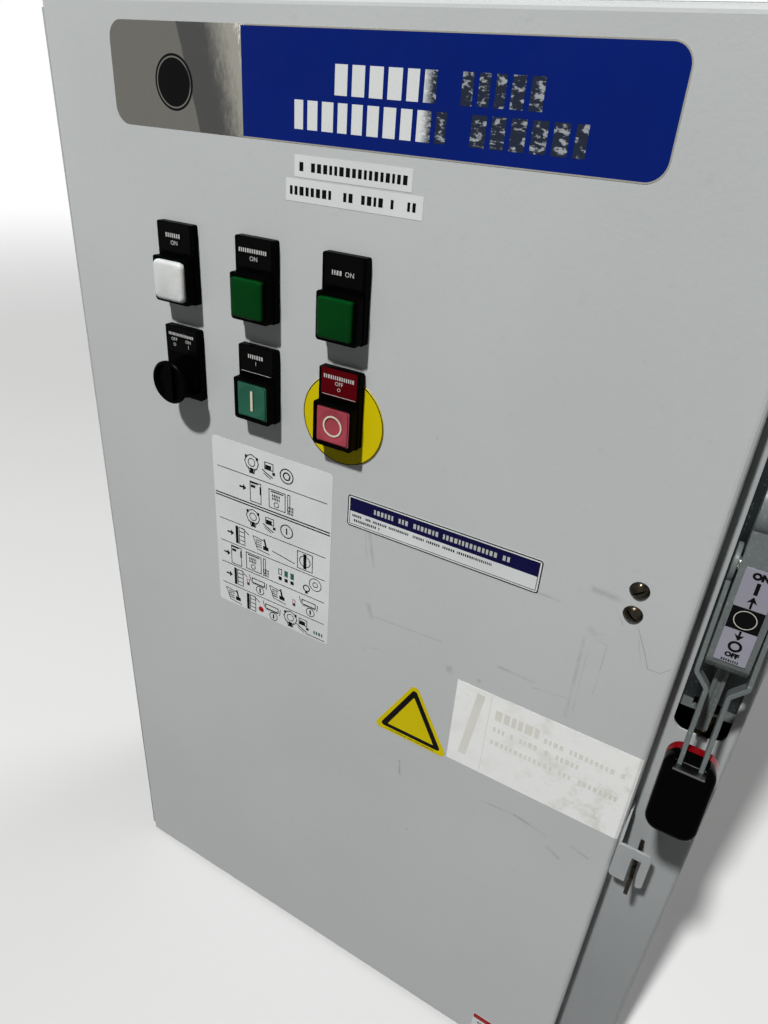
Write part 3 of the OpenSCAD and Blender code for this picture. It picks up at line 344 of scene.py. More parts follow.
# %% Marks on the door
DARK_MARKS = [
    (154, 512.6, 172, 511.6, 1.6, 2.4, 0.30), (158, 486, 163, 482, 1.6, 2.0, 0.30),
    (74, 413, 75, 408, 2.0, 1.2, 0.45), (96, 412.4, 98, 411, 1.0, 1.0, 0.35),
    (108, 430.2, 133, 429.4, 0.7, 1.2, 0.34), (133, 425, 155, 427.6, 0.4, 0.8, 0.30),
    (156.6, 478, 157.2, 413, 0.7, 1.2, 0.26), (160.2, 470, 160.8, 420, 0.35, 0.8, 0.18),
    (114, 302.4, 140, 305.2, 0.6, 1.2, 0.34), (140, 305.2, 165, 300.2, 0.8, 1.3, 0.40),
    (167, 290, 178, 284, 1.2, 1.6, 0.30), (183, 302.6, 196, 298.8, 0.8, 1.4, 0.34),
    (44.6, 301.8, 46, 286, 0.5, 0.8, 0.55), (-6.6, 329.6, -5.4, 329, 0.7, 0.8, 0.5),
    (5.4, 394.8, 8, 394.2, 0.5, 0.8, 0.4), (57, 229.4, 58.2, 227.6, 0.6, 0.8, 0.4),
    (4.4, 496, 9.6, 469, 0.7, 1.4, 0.32), (1.6, 494, 3.4, 474, 0.4, 1.0, 0.22),
    (7, 437, 11, 425.6, 1.2, 1.8, 0.30), (9.4, 428.2, 66.6, 431, 0.4, 0.8, 0.30),
    (1.8, 396, 26.2, 403, 0.4, 0.8, 0.18), (124, 496.8, 138, 496.8, 0.5, 0.9, 0.34),
    (46, 577, 46.9, 576.4, 0.4, 0.6, 0.4), (-61, 782.6, -58, 782, 1.2, 1.6, 0.20),
]
SCRATCHES = [
    (183.6, 498.4, 191.6, 481.8, 0.16, 0.4, 0.85), (191.6, 481.8, 195.2, 472.8, 0.16, 0.4, 0.85),
    (195.2, 472.8, 202.6, 473, 0.16, 0.4, 0.8), (202.6, 473, 207, 478.6, 0.14, 0.4, 0.7),
    (169.4, 505.6, 175.6, 496.2, 0.16, 0.5, 0.6), (170.4, 478, 169.7, 439, 0.16, 0.5, 0.5),
    (164, 478.8, 171.4, 478.4, 0.16, 0.5, 0.5), (185.8, 490, 189.8, 478, 0.14, 0.4, 0.5),
]


def door_paint_with_marks():
    material = powder_coat("door_paint", (171, 174, 173))
    tree, shader, place = opened(material)
    colour = shader.inputs["Base Color"].links[0].from_socket
    patchy = ramp(noise(place, 90.0, 3.0), 0.36, 0.58, 0.4, 1.2)
    for marks, tint in ((DARK_MARKS, (112, 112, 110)), (SCRATCHES, (122, 123, 122))):
        for x0, z0, x1, z1, wide, soft, strength in marks:
            mark = tree.nodes.new("ShaderNodeGroup")
            mark.node_tree = MARK_GROUP
            fill(mark, {"Place": place,
                        "Middle X": (x0 + x1) / 2000, "Middle Z": (z0 + z1) / 2000,
                        "Half X": math.hypot(x1 - x0, z1 - z0) / 2000, "Half Z": wide / 1000,
                        "Turn": math.atan2(z1 - z0, x1 - x0), "Soft": soft / 1000})
            shown = times(mark.outputs[0], times(patchy, strength))
            colour = mixed(shown, colour, rgba(tint))
    fill(shader, {"Base Color": colour})
    return material


door_paint = door_paint_with_marks()
print("marks on the door:", len(DARK_MARKS) + len(SCRATCHES))

# %% [markdown]
# ## Moulded plastic
# Each kind of finish is one function, and each finish is one call to it. Moulded
# plastic has a fine sparked texture, a gloss that varies in patches and a little dust.

# %% Moulded plastic
def moulded_plastic(name, colour, rough=0.38, texture=0.00002, dust=0.05, grain=1800.0,
                    shine=0.5):
    material, tree, shader, place = begin(name)
    patches = noise(place, 34.0, 4.0)
    base = clouded(patches, colour, 0.9, 1.08)
    dusty = times(ramp(noise(place, 260.0, 4.0), 0.5, 0.75), dust)
    fill(shader, {"Base Color": mixed(dusty, base, rgba((150, 150, 146))),
                  "Roughness": spread(patches, rough - 0.05, rough + 0.06),
                  "Specular IOR Level": shine})
    bumped(shader, noise(place, grain, 2.0), texture)
    return material


black_plastic = moulded_plastic("black_plastic", (2, 2, 2), rough=0.3, dust=0.001,
                                shine=0.01)
gloss_black = moulded_plastic("gloss_black", (2, 2, 2), rough=0.08, texture=0.000003,
                              dust=0.0005, shine=0.012)
grip_red = moulded_plastic("grip_red", (122, 5, 13), rough=0.25, texture=0.000004,
                           dust=0.003, shine=0.04)
case_plastic = moulded_plastic("case_plastic", (34, 35, 38), rough=0.45, texture=0.00004)
start_green = moulded_plastic("start_green", (34, 82, 64), rough=0.42, dust=0.015, shine=0.08)
stop_red = moulded_plastic("stop_red", (142, 58, 68), rough=0.42, dust=0.015, shine=0.08)
toggle_white = moulded_plastic("toggle_white", (206, 206, 200), rough=0.4)
duct_grey = moulded_plastic("duct_grey", (146, 150, 154), rough=0.5)
terminal_grey = moulded_plastic("terminal_grey", (158, 160, 154), rough=0.5)
armature_yellow = moulded_plastic("armature_yellow", (196, 168, 60), rough=0.45)
fuse_body = moulded_plastic("fuse_body", (196, 190, 172), rough=0.6)
cable_jacket = moulded_plastic("cable_jacket", (22, 22, 23), rough=0.55, texture=0.00008,
                               grain=900.0)
print("plastics ready")

# %% [markdown]
# ## Metals
# Plated steel and brass are bare metals. They show mostly what they mirror, so the
# roughness does most of the work: a noise varies it a little, as fingers and tools do.
# Clouds of a second colour and dark spots are the plating and its tarnish. The grey
# parts of the handle are coarser and painted, so they are hardly metallic, with paler
# grains where they are rubbed.

# %% Metals
def plated_steel(name, colour, second, rough=0.32, clouds=26.0, tarnish=0.0):
    material, tree, shader, place = begin(name)
    patches = noise(place, clouds, 4.0, 0.6)
    fine = noise(place, 900.0, 3.0)
    base = mixed(ramp(patches, 0.32, 0.68), rgba(colour), rgba(second))
    spots = times(ramp(noise(place, 300.0, 5.0), 0.52, 0.72), tarnish)
    fill(shader, {"Base Color": mixed(spots, base, rgba((58, 50, 40))),
                  "Roughness": spread(fine, rough - 0.06, rough + 0.1),
                  "Metallic": 1.0})
    bumped(shader, fine, 0.00002)
    return material


def cast_metal(name, colour, rough, metal):
    material, tree, shader, place = begin(name)
    grains = noise(place, 520.0, 3.0)
    base = clouded(noise(place, 22.0, 4.0), colour, 0.86, 1.12)
    rubbed = times(ramp(grains, 0.60, 0.72), 0.2)
    fill(shader, {"Base Color": mixed(rubbed, base, rgba((176, 178, 178))),
                  "Roughness": spread(grains, rough - 0.06, rough + 0.08),
                  "Metallic": metal, "Specular IOR Level": 0.25})
    bumped(shader, grains, 0.00002)
    return material


zinc_plate = plated_steel("zinc_plate", (190, 194, 200), (206, 202, 188))
dark_brass = plated_steel("dark_brass", (50, 46, 38), (26, 24, 20), rough=0.22, clouds=180.0,
                          tarnish=0.7)
yellow_brass = plated_steel("yellow_brass", (205, 176, 104), (188, 152, 84), rough=0.3,
                            tarnish=0.35)
handle_grey = cast_metal("handle_grey", (90, 96, 95), rough=0.3, metal=0.05)
bar_steel = cast_metal("bar_steel", (82, 88, 87), rough=0.4, metal=0.0)
dark_slate = cast_metal("dark_slate", (24, 29, 31), rough=0.42, metal=0.3)
print("metals ready")

# %% [markdown]
# ## Foam, laminations and winding
# Foam is a sponge of small cells, and a Voronoi pattern is just that. The transformer's
# core is a stack of thin sheets and its coil is turns of wire: both are fine parallel
# lines, so one function draws both, with its own axis and pitch for each.

# %% Foam, laminations and winding
def foam(name):
    material, tree, shader, place = begin(name)
    cells = add(tree, "ShaderNodeTexVoronoi", {"Vector": place, "Scale": 900.0})
    tone = noise(place, 60.0, 3.0)
    fill(shader, {"Base Color": mixed(tone, rgba((24, 24, 26)), rgba((40, 40, 42))),
                  "Roughness": 0.92})
    bumped(shader, cells.outputs["Distance"], 0.0004)
    return material


def striped(name, colour, second, axis, pitch, rough, metal, depth):
    """Fine parallel lines, as sheets in a core or turns of wire show them."""
    material, tree, shader, place = begin(name)
    lines = add(tree, "ShaderNodeTexWave",
                {"Vector": place, "Scale": 0.31 / pitch, "Distortion": 0.4,
                 "Detail": 1.0}, bands_direction=axis).outputs["Fac"]
    fill(shader, {"Base Color": mixed(lines, rgba(second), rgba(colour)),
                  "Roughness": spread(noise(place, 90.0), rough - 0.08, rough + 0.08),
                  "Metallic": metal})
    bumped(shader, lines, depth)
    return material


gasket_foam = foam("gasket_foam")
core_sheets = striped("core_sheets", (104, 106, 110), (60, 61, 64), "Y", 0.0012, 0.5, 0.6,
                      0.0001)
winding_wire = striped("winding_wire", (158, 104, 48), (96, 58, 26), "Z", 0.0011, 0.35, 0.5,
                       0.0002)
print("foam, core and winding ready")

# %% [markdown]
# ## Vinyl and ink
# The stickers are cut from vinyl, and the print on them is as thin and smooth, so both
# are one kind: a faintly cloudy tone, a varied gloss and a slight ripple.

# %% Vinyl and ink
def vinyl(name, colour, rough=0.3, fade=0.05, shine=0.12):
    material, tree, shader, place = begin(name)
    gloss = spread(noise(place, 70.0, 3.0), rough - 0.06, rough + 0.1)
    fill(shader, {"Base Color": clouded(noise(place, 18.0, 3.0), colour, 1 - fade, 1 + fade),
                  "Roughness": gloss, "Specular IOR Level": shine})
    bumped(shader, noise(place, 130.0, 2.0), 0.00004)
    return material


royal_blue = vinyl("royal_blue", (3, 26, 100), rough=0.26, shine=0.06)
white_vinyl = vinyl("white_vinyl", (197, 199, 199), rough=0.34)
yellow_vinyl = vinyl("yellow_vinyl", (190, 173, 6), rough=0.34, shine=0.06)
red_vinyl = vinyl("red_vinyl", (140, 10, 16), rough=0.34, shine=0.06)
faint_ink = vinyl("faint_ink", (201, 200, 192), rough=0.45, fade=0.06)
navy_ink = vinyl("navy_ink", (12, 10, 54), rough=0.36, shine=0.05)
black_ink = vinyl("black_ink", (6, 6, 7), rough=0.4, shine=0.04)
pale_ink = vinyl("pale_ink", (186, 183, 172), rough=0.45, fade=0.1)
white_ink = vinyl("white_ink", (170, 171, 168), rough=0.42)
ivory_ink = vinyl("ivory_ink", (196, 190, 168), rough=0.4)
plate_white = vinyl("plate_white", (136, 135, 145), rough=0.36)
print("vinyls and inks ready")

# %% [markdown]
# ## Mirror film
# The left end of the title band and the blocks on its right end are mirror film. The
# plain stage has nothing to mirror, so the reflection of such a film is painted into its
# colour: its light and dark areas, its ripples and its bright specks are painted
# reflection.

# %% Mirror film
def mirror_film(name, edge, ramp_from, ramp_to):
    """Foil with a painted reflection: flat grey, a slanted dark band, then bright ripples and
    specks.
    """
    painted_specks_from, painted_specks_to = -0.092, -0.094
    material, tree, shader, place = begin(name)
    ripple = noise(place, 90.0, 4.0, 0.6, stretch=(1.0, 1.0, 0.35))
    fine = noise(place, 520.0, 3.0, 0.6, stretch=(1.0, 1.0, 0.4))
    parts = xyz(place)
    slanted = maths("ADD", parts[0], times(parts[2], 0.273))
    wavy = maths("ADD", slanted, times(ripple, 0.004))
    # Painted reflection: a dark band with a wavy edge, slanting across the film.
    dark = ramp(wavy, edge, edge + 0.0012)
    # Painted reflection: bright ripples beyond the dark band.
    bright = ramp(maths("ADD", slanted, times(fine, 0.016)),
                  ramp_from + 0.006, ramp_to + 0.006)
    # Painted reflection: bright specks near the right end of the film.
    specks = times(ramp(fine, 0.50, 0.60), ramp(slanted, ramp_to - 0.002, ramp_to + 0.006))
    specks = times(specks, ramp(parts[0], painted_specks_from, painted_specks_to))
    base = mixed(dark, rgba((108, 106, 100)), rgba((76, 76, 75)))
    base = mixed(bright, base, rgba((152, 150, 140)))
    fill(shader, {"Base Color": mixed(specks, base, rgba((222, 222, 216))),
                  "Roughness": spread(ripple, 0.16, 0.30), "Metallic": 1.0})
    bumped(shader, fine, 0.0001)
    return material


def word_mirror(name, painted_dark_from):
    """The same foil in the words, with a painted reflection: pale up to one place, then dark with
    pale flecks.
    """
    material, tree, shader, place = begin(name)
    flecks = noise(place, 300.0, 4.0, 0.6, stretch=(0.7, 1.0, 1.3))
    along = maths("ADD", xyz(place)[0], times(flecks, 0.012))
    # Painted reflection: pale up to one place, then dark with pale flecks.
    dark = ramp(along, painted_dark_from, painted_dark_from + 0.006)
    shade = mixed(ramp(flecks, 0.52, 0.62), rgba((38, 44, 58)), rgba((150, 154, 156)))
    fill(shader, {"Base Color": mixed(dark, rgba((204, 207, 205)), shade),
                  "Roughness": 0.25, "Metallic": 1.0})
    bumped(shader, flecks, 0.0001)
    return material


silver_film = mirror_film("silver_film", 0.0721, 0.090, 0.112)
word_film = word_mirror("word_film", 0.024)
print("mirror films ready")

# %% [markdown]
# ## Worn label
# One label has been rubbed until nearly all its ink is gone. Clouds and fine streaks
# say where it is rubbed, and the clouds grow stronger towards the edge of the door.

# %% Worn label
def worn_label(name, colour, worn_colour):
    material, tree, shader, place = begin(name)
    clouds = noise(place, 60.0, 5.0, 0.65)
    streaks = noise(place, 240.0, 4.0, 0.6, stretch=(0.25, 1.0, 1.0))
    outer = ramp(xyz(place)[0], 0.10, 0.20, 0.25, 1.0)
    rubbed = times(ramp(clouds, 0.45, 0.68), outer)
    rubbed = maths("MAXIMUM", rubbed, times(ramp(streaks, 0.6, 0.74), 0.5))
    fill(shader, {"Base Color": mixed(rubbed, rgba(colour), rgba(worn_colour)),
                  "Roughness": spread(clouds, 0.30, 0.5), "Specular IOR Level": 0.2})
    bumped(shader, clouds, 0.0001)
    return material


faded_vinyl = worn_label("faded_vinyl", (221, 222, 219), (196, 196, 190))
print("worn label ready")

# %% [markdown]
# ## Lenses
# A lamp's lens is clear coloured plastic over a darker inside, with a pattern of cells
# for the small prisms behind its face. The relays have clear cases of the same kind.

# %% Lenses and clear cases
def lens_plastic(name, colour, core, rough=0.14, milky=0.0, coat=0.5, shine=0.3):
    material, tree, shader, place = begin(name)
    cells = add(tree, "ShaderNodeTexVoronoi", {"Vector": place, "Scale": 420.0})
    inner = times(ramp(cells.outputs["Distance"], 0.1, 0.7), 0.25)
    base = clouded(noise(place, 50.0, 2.0), colour, 0.92, 1.1)
    gloss = spread(noise(place, 400.0, 2.0), rough, rough + 0.06)
    fill(shader, {"Base Color": mixed(inner, base, rgba(core)), "Roughness": gloss,
                  "Subsurface Weight": milky, "Subsurface Scale": 0.004,
                  "Specular IOR Level": shine, "Coat Weight": coat,
                  "Coat Roughness": 0.05})
    bumped(shader, noise(place, 240.0, 1.0), 0.00002)
    return material


white_lens = lens_plastic("white_lens", (190, 192, 190), (178, 180, 178), 0.3, milky=0.2, coat=0.2)
green_lens = lens_plastic("green_lens", (0, 52, 14), (0, 42, 10), 0.16, coat=0.0, shine=0.03)
clear_case = lens_plastic("clear_case", (176, 186, 190), (120, 128, 132), 0.12)
print("lenses ready")

# %% [markdown]
# ## Legend inserts
# Six small plates say what each operator does. Five are black, and the one over the
# stop button is dark red. They are one CAD node, so one material picks the colour by
# place: it turns red inside a box round that one plate.

# %% Legend inserts
def legend_plates(name, middle_x, half_wide, low_z, high_z):
    material = moulded_plastic(name, (4, 4, 4), rough=0.3, dust=0.001, shine=0.02)
    tree, shader, place = opened(material)
    parts = xyz(place)
    aside = maths("ABSOLUTE", maths("SUBTRACT", parts[0], middle_x))
    near = maths("LESS_THAN", aside, half_wide)
    over = maths("GREATER_THAN", parts[2], low_z)
    under = maths("LESS_THAN", parts[2], high_z)
    inside = times(near, times(over, under))
    colour = shader.inputs["Base Color"].links[0].from_socket
    fill(shader, {"Base Color": mixed(inside, colour, rgba((76, 3, 8)))})
    return material


stop_low, stop_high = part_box("stop_button")
stop_x = (stop_low.x + stop_high.x) / 2
stop_z = (stop_low.z + stop_high.z) / 2
plate_half, plate_reach = 0.020, 0.045
legend_black = legend_plates("legend_plates", stop_x, plate_half, stop_z,
                             stop_z + plate_reach)
print("stop button at", round(stop_x * 1000, 1), round(stop_z * 1000, 1))

# %% [markdown]
# ## Finishes onto the CAD nodes
# Each node keeps its own mesh and gets one of the finishes. The table is by finish, as
# a maker would order the parts.

# %% Assign the finishes
FINISH_OF = {
    body_paint: ["enclosure", "hinge_leaf_body", "hinge_leaf_door", "door_hasp"],
    door_paint: ["door_panel"],
    panel_paint: ["mounting_panel"],
    zinc_plate: ["wall_studs", "panel_nuts", "hinge_pin", "breaker_lugs", "operator_base",
                 "operator_slide", "lever_pin", "drive_crank", "drive_rod", "catch_hook",
                 "door_catch", "operator_nuts", "ground_screws", "din_rail"],
    yellow_brass: ["cable_fittings", "contactor_lugs", "ground_bar"],
    dark_brass: ["catch_screws", "hasp_staple"],
    handle_grey: ["handle_housing", "mechanism_frame"],
    bar_steel: ["lever_yoke", "lock_tongue"],
    dark_slate: ["handle_base"],
    plate_white: ["handle_nameplate"],
    black_plastic: ["legend_holders", "operator_heads", "selector_bush", "selector_knob",
                    "contact_blocks"],
    legend_black: ["legend_inserts"],
    gloss_black: ["grip_front"],
    grip_red: ["grip_back"],
    yellow_vinyl: ["stop_disc"],
    case_plastic: ["main_breaker", "contactor_base", "fuse_block", "relay_sockets"],
    toggle_white: ["breaker_toggle"],
    armature_yellow: ["contactor_carrier"],
    clear_case: ["control_relays"],
    terminal_grey: ["terminal_block"],
    duct_grey: ["wire_duct"],
    fuse_body: ["fuses"],
    core_sheets: ["transformer_core"],
    winding_wire: ["transformer_coil"],
    gasket_foam: ["door_gasket"],
    cable_jacket: ["operating_cable"],
    white_lens: ["power_lens"],
    green_lens: ["run_lens", "backup_lens"],
    start_green: ["start_button"],
    stop_red: ["stop_button"],
}
for material, names in FINISH_OF.items():
    for name in names:
        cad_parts[name].data.materials.clear()
        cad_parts[name].data.materials.append(material)
bare = set(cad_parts) - {n for names in FINISH_OF.values() for n in names}
print("nodes without a finish:", sorted(bare))

# %% [markdown]
# ## Flat shapes
# A sticker is a thin plate and its print is a thinner layer on top. Both are flat
# outlines, drawn in millimetres as on paper, x to the right and y up, and extruded by
# a hair. One mesh holds all the shapes of one ink, so that a label is two or three
# pieces and not fifty.

# %% Flat shapes
MM = 0.001


def rounded(x0, y0, x1, y1, r=0.0, steps=4):
    """Outline of a rectangle with round corners, counter-clockwise."""
    if r <= 0:
        return [(x0, y0), (x1, y0), (x1, y1), (x0, y1)]
    corners = ((x1 - r, y0 + r, -90), (x1 - r, y1 - r, 0), (x0 + r, y1 - r, 90),
               (x0 + r, y0 + r, 180))
    return [(x + r * math.cos(math.radians(a + 90 * i / steps)),
             y + r * math.sin(math.radians(a + 90 * i / steps)))
            for x, y, a in corners for i in range(steps + 1)]


def round_disc(x, y, r, steps=32):
    return [(x + r * math.cos(2 * math.pi * i / steps), y + r * math.sin(2 * math.pi * i / steps))
            for i in range(steps)]


def slab(bm, outline, low, high):
    """Extrude an outline from low to high into the mesh."""
    under = [bm.verts.new((x, y, low)) for x, y in outline]
    over = [bm.verts.new((x, y, high)) for x, y in outline]
    bm.faces.new(over)
    bm.faces.new(under[::-1])
    for i in range(len(outline)):
        j = (i + 1) % len(outline)
        bm.faces.new((under[i], under[j], over[j], over[i]))


def hoop(bm, outer, inner, low, high):
    """Extrude the band between two outlines that have the same number of points."""
    rings = [[bm.verts.new((x, y, z)) for x, y in line]
             for line in (outer, inner) for z in (low, high)]
    out_low, out_high, in_low, in_high = rings
    for i in range(len(outer)):
        j = (i + 1) % len(outer)
        bm.faces.new((out_high[i], out_high[j], in_high[j], in_high[i]))
        bm.faces.new((out_low[j], out_low[i], in_low[i], in_low[j]))
        bm.faces.new((out_low[i], out_low[j], out_high[j], out_high[i]))
        bm.faces.new((in_low[j], in_low[i], in_high[i], in_high[j]))


def stroke(bm, x0, y0, x1, y1, wide, low, high):
    """A straight line of some width."""
    along = Vector((x1 - x0, y1 - y0)).normalized() * wide / 2
    side = Vector((-along.y, along.x))
    a, b = Vector((x0, y0)), Vector((x1, y1))
    slab(bm, [a - side, b - side, b + side, a + side], low, high)


print("flat shapes ready")

# %% [markdown]
# ## Letters
# The letters of ON, OFF, I and O come from a text object. Its mesh is measured, brought
# to the height that is asked for and added to the drawing.

# %% Letters
def letters(bm, text, x, y, tall, low, high, bold=0.0):
    """ON, OFF, I or O, as tall as asked, centred on a point."""
    curve = bpy.data.curves.new("letters", "FONT")
    curve.body = text
    curve.extrude = 0.5
    curve.offset = bold
    curve.resolution_u = 3
    holder = bpy.data.objects.new("letters", curve)
    mesh = bpy.data.meshes.new_from_object(holder)
    xs = [v.co.x for v in mesh.vertices]
    ys = [v.co.y for v in mesh.vertices]
    scale = tall / (max(ys) - min(ys))
    middle = Vector(((min(xs) + max(xs)) / 2, (min(ys) + max(ys)) / 2, 0))
    mesh.transform(Matrix.Translation((x, y, (low + high) / 2))
                   @ Matrix.Diagonal((scale, scale, high - low, 1))
                   @ Matrix.Translation(-middle))
    bm.from_mesh(mesh)
    bpy.data.objects.remove(holder)
    bpy.data.curves.remove(curve)
    bpy.data.meshes.remove(mesh)


print("letters ready")

# %% [markdown]
# ## From a drawing to a piece
# A finished drawing is stood up against the door: y becomes height, and the way out of
# the paper becomes the way towards the viewer. The move is done in the mesh, so every
# object stays at the origin. A sticker is the plate under the print of a label.

# %% Pieces
STAND_UP = Matrix.Rotation(math.radians(90), 4, "X")
TO_METRES = Matrix.Diagonal((MM, MM, MM, 1))


def mesh_of(name, bm):
    """The plain mesh of a drawing, which ends the drawing."""
    mesh = bpy.data.meshes.new(name)
    bm.to_mesh(mesh)
    bm.free()
    return mesh


def new_piece(name, mesh, material, body, smooth=False):
    """Make an object of a mesh that is already in place, and let it ride on a body."""
    mesh.name = name
    mesh.materials.clear()
    mesh.materials.append(material)
    for face in mesh.polygons:
        face.use_smooth = smooth
    piece = bpy.data.objects.new(name, mesh)
    bpy.context.scene.collection.objects.link(piece)
    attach(piece, body)
    print(f"{name}: {len(mesh.polygons)} faces on {body}")
    return piece


def stand(name, bm, at, material, body, smooth=False):
    """Stand a drawing up at a point given in mm, facing the viewer, as one piece."""
    mesh = mesh_of(name, bm)
    mesh.transform(Matrix.Translation(Vector(at) * MM) @ STAND_UP @ TO_METRES)
    return new_piece(name, mesh, material, body, smooth)


door_face = 1000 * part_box("door_panel")[0].y
door_edge = 1000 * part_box("door_panel")[1].x


def on_door(name, bm, material):
    """Lay a drawing on the face of the door."""
    stand(name, bm, (0, door_face, 0), material, "door")


STICKER = 0.15
INK = 0.05
ON_STICKER = (STICKER, STICKER + INK)
ON_INK = (STICKER + INK, STICKER + 2 * INK)


def sticker(name, outlines, material):
    """A plate on the door for each outline, all as one piece."""
    bm = bmesh.new()
    for outline in outlines:
        slab(bm, outline, 0, STICKER)
    on_door(name, bm, material)


print("door face at y", round(door_face, 2), "mm, its edge at x", round(door_edge, 1))

# %% [markdown]
# ## Lines of print
# On this part each letter of a label is a plain block. A Geometry Nodes tree sets the
# blocks as a typesetter would. It takes points, gives each a random width, and adds up
# the widths along its line to find where each starts. It drops what runs past the
# margin, drops a few more to leave spaces between words, and puts a block on every
# point left.

# %% A tree that sets lines of print
def print_tree():
    tree = bpy.data.node_groups.new("lines_of_print", "GeometryNodeTree")
    face = tree.interface
    face.new_socket("Geometry", in_out="INPUT", socket_type="NodeSocketGeometry")
    for name, kind in (("Line length", "Float"), ("Line pitch", "Float"),
                       ("Letter height", "Float"), ("Narrowest", "Float"), ("Widest", "Float"),
                       ("Gap", "Float"), ("Spaces", "Float"), ("Depth", "Float"),
                       ("Lines", "Int"), ("Seed", "Int"), ("Ink", "Material")):
        face.new_socket(name, in_out="INPUT", socket_type="NodeSocket" + kind)
    face.new_socket("Geometry", in_out="OUTPUT", socket_type="NodeSocketGeometry")
    given = tree.nodes.new("NodeGroupInput").outputs
    per_line = 90
    points = add(tree, "GeometryNodePoints", {"Count": times(given["Lines"], per_line)})
    index = tree.nodes.new("GeometryNodeInputIndex").outputs[0]
    row = maths("FLOOR", maths("DIVIDE", maths("ADD", index, 0.5), per_line))
    wide = add(tree, "FunctionNodeRandomValue",
               {2: given["Narrowest"], 3: given["Widest"], "ID": index, "Seed": given["Seed"]},
               data_type="FLOAT").outputs[1]
    space = add(tree, "FunctionNodeRandomValue",
                {"Probability": given["Spaces"], "ID": index,
                 "Seed": maths("ADD", given["Seed"], 50)}, data_type="BOOLEAN").outputs[3]
    running = add(tree, "GeometryNodeAccumulateField",
                  {0: maths("ADD", wide, given["Gap"]), "Group ID": row}, data_type="FLOAT")
    start = running.outputs["Trailing"]
    past = maths("GREATER_THAN", maths("ADD", start, wide), given["Line length"])
    along = maths("ADD", start, times(wide, 0.5))
    down = times(row, times(given["Line pitch"], -1.0))
    spot = add(tree, "ShaderNodeCombineXYZ", {0: along, 1: down})
    size = add(tree, "ShaderNodeCombineXYZ", {0: wide, 1: given["Letter height"],
                                               2: given["Depth"]})
    stored = add(tree, "GeometryNodeStoreNamedAttribute",
                 {"Geometry": points.outputs[0], "Name": "letter_size", "Value": size.outputs[0]},
                 data_type="FLOAT_VECTOR")
    placed = add(tree, "GeometryNodeSetPosition",
                 {"Geometry": stored.outputs[0], "Position": spot.outputs[0]})
    kept = add(tree, "GeometryNodeDeleteGeometry",
               {"Geometry": placed.outputs[0], "Selection": maths("MAXIMUM", past, space)})
    letter_size = add(tree, "GeometryNodeInputNamedAttribute", {"Name": "letter_size"},
                      data_type="FLOAT_VECTOR")
    blocks = add(tree, "GeometryNodeInstanceOnPoints",
                 {"Points": kept.outputs[0],
                  "Instance": add(tree, "GeometryNodeMeshCube").outputs["Mesh"],
                  "Scale": letter_size.outputs[0]})
    real = add(tree, "GeometryNodeRealizeInstances", {0: blocks.outputs[0]})
    inked = add(tree, "GeometryNodeSetMaterial",
                {"Geometry": real.outputs[0], "Material": given["Ink"]})
    out = tree.nodes.new("NodeGroupOutput")
    tree.links.new(inked.outputs[0], out.inputs[0])
    return tree


LINES_OF_PRINT = print_tree()
print("the tree for print has", len(LINES_OF_PRINT.nodes), "nodes")

# %% [markdown]
# ## Running the tree
# The tree runs on an empty mesh, and what it makes is copied as a plain mesh into the
# drawing at hand. So a label's blocks are part of its one mesh.

# %% Small print
def grown(tree, base, **inputs):
    """Run a Geometry Nodes tree on a mesh and give back the plain mesh it makes."""
    holder = bpy.data.objects.new("holder", base)
    bpy.context.scene.collection.objects.link(holder)
    modifier = holder.modifiers.new("grow", "NODES")
    modifier.node_group = tree
    identifiers = {item.name: item.identifier for item in tree.interface.items_tree
                   if item.item_type == "SOCKET" and item.in_out == "INPUT"}
    for name, value in inputs.items():
        modifier[identifiers[name.replace("_", " ")]] = value
    seen = holder.evaluated_get(bpy.context.evaluated_depsgraph_get())
    mesh = bpy.data.meshes.new_from_object(seen)
    bpy.data.objects.remove(holder)
    return mesh


def small_print(bm, x, y, length, tall, pitch, lines, spaces, seed, low, high,
                wide=(0.34, 0.62), gap=0.3):
    """Add lines of blocks; the first starts at x, centred on y. Widths and gap are shares
    of the height."""
    mesh = grown(LINES_OF_PRINT, bpy.data.meshes.new("paper"), Line_length=float(length),
                 Line_pitch=float(pitch), Letter_height=float(tall),
                 Narrowest=float(tall * wide[0]), Widest=float(tall * wide[1]),
                 Gap=float(tall * gap), Spaces=float(spaces), Depth=float(high - low),
                 Lines=lines, Seed=seed, Ink=black_ink)
    mesh.transform(Matrix.Translation((x, y, (low + high) / 2)))
    bm.from_mesh(mesh)
    bpy.data.meshes.remove(mesh)


print("small print ready")

# %% [markdown]
# ## Title band
# The widest sticker runs along the top of the door: mirror film at the left with a
# plain disc and a ring, royal blue at the right with two lines of plain mirror blocks.

# %% Title band
band = (-195.6, 724.6, 141.9, 779.0)
film_end = -95.0
band_r = 10.0
rim = 0.7
sticker("title_film", [rounded(*band, band_r, 8)], silver_film)

bm = bmesh.new()
blue = rounded(film_end, band[1] + rim, band[2] - rim, band[3] - rim, band_r - rim, 8)
blue = [(film_end if x < film_end + band_r else x, y) for x, y in blue]
slab(bm, blue, *ON_STICKER)
on_door("title_blue", bm, royal_blue)

WORDS = ((-33.4, 32.9, 756.2, 14.0), (39.0, 80.4, 756.2, 14.0),
         (-59.0, 38.5, 738.8, 14.0), (46.0, 106.0, 738.8, 14.0))
bm = bmesh.new()
for seed, (x0, x1, middle, tall) in enumerate(WORDS):
    small_print(bm, x0, middle, x1 - x0, tall, tall, 1, 0.0, seed, *ON_INK,
                wide=(0.36, 0.58), gap=0.2)
on_door("title_words", bm, word_film)

bm = bmesh.new()
slab(bm, round_disc(-146, 749, 14.6, 48), *ON_STICKER)
on_door("title_seal", bm, black_ink)
bm = bmesh.new()
hoop(bm, round_disc(-146, 749, 13.3, 48), round_disc(-146, 749, 12.5, 48), *ON_INK)
on_door("title_seal_ring", bm, silver_film)

# %% [markdown]
# ## Two tapes
# Plain white tapes with one line of print each.

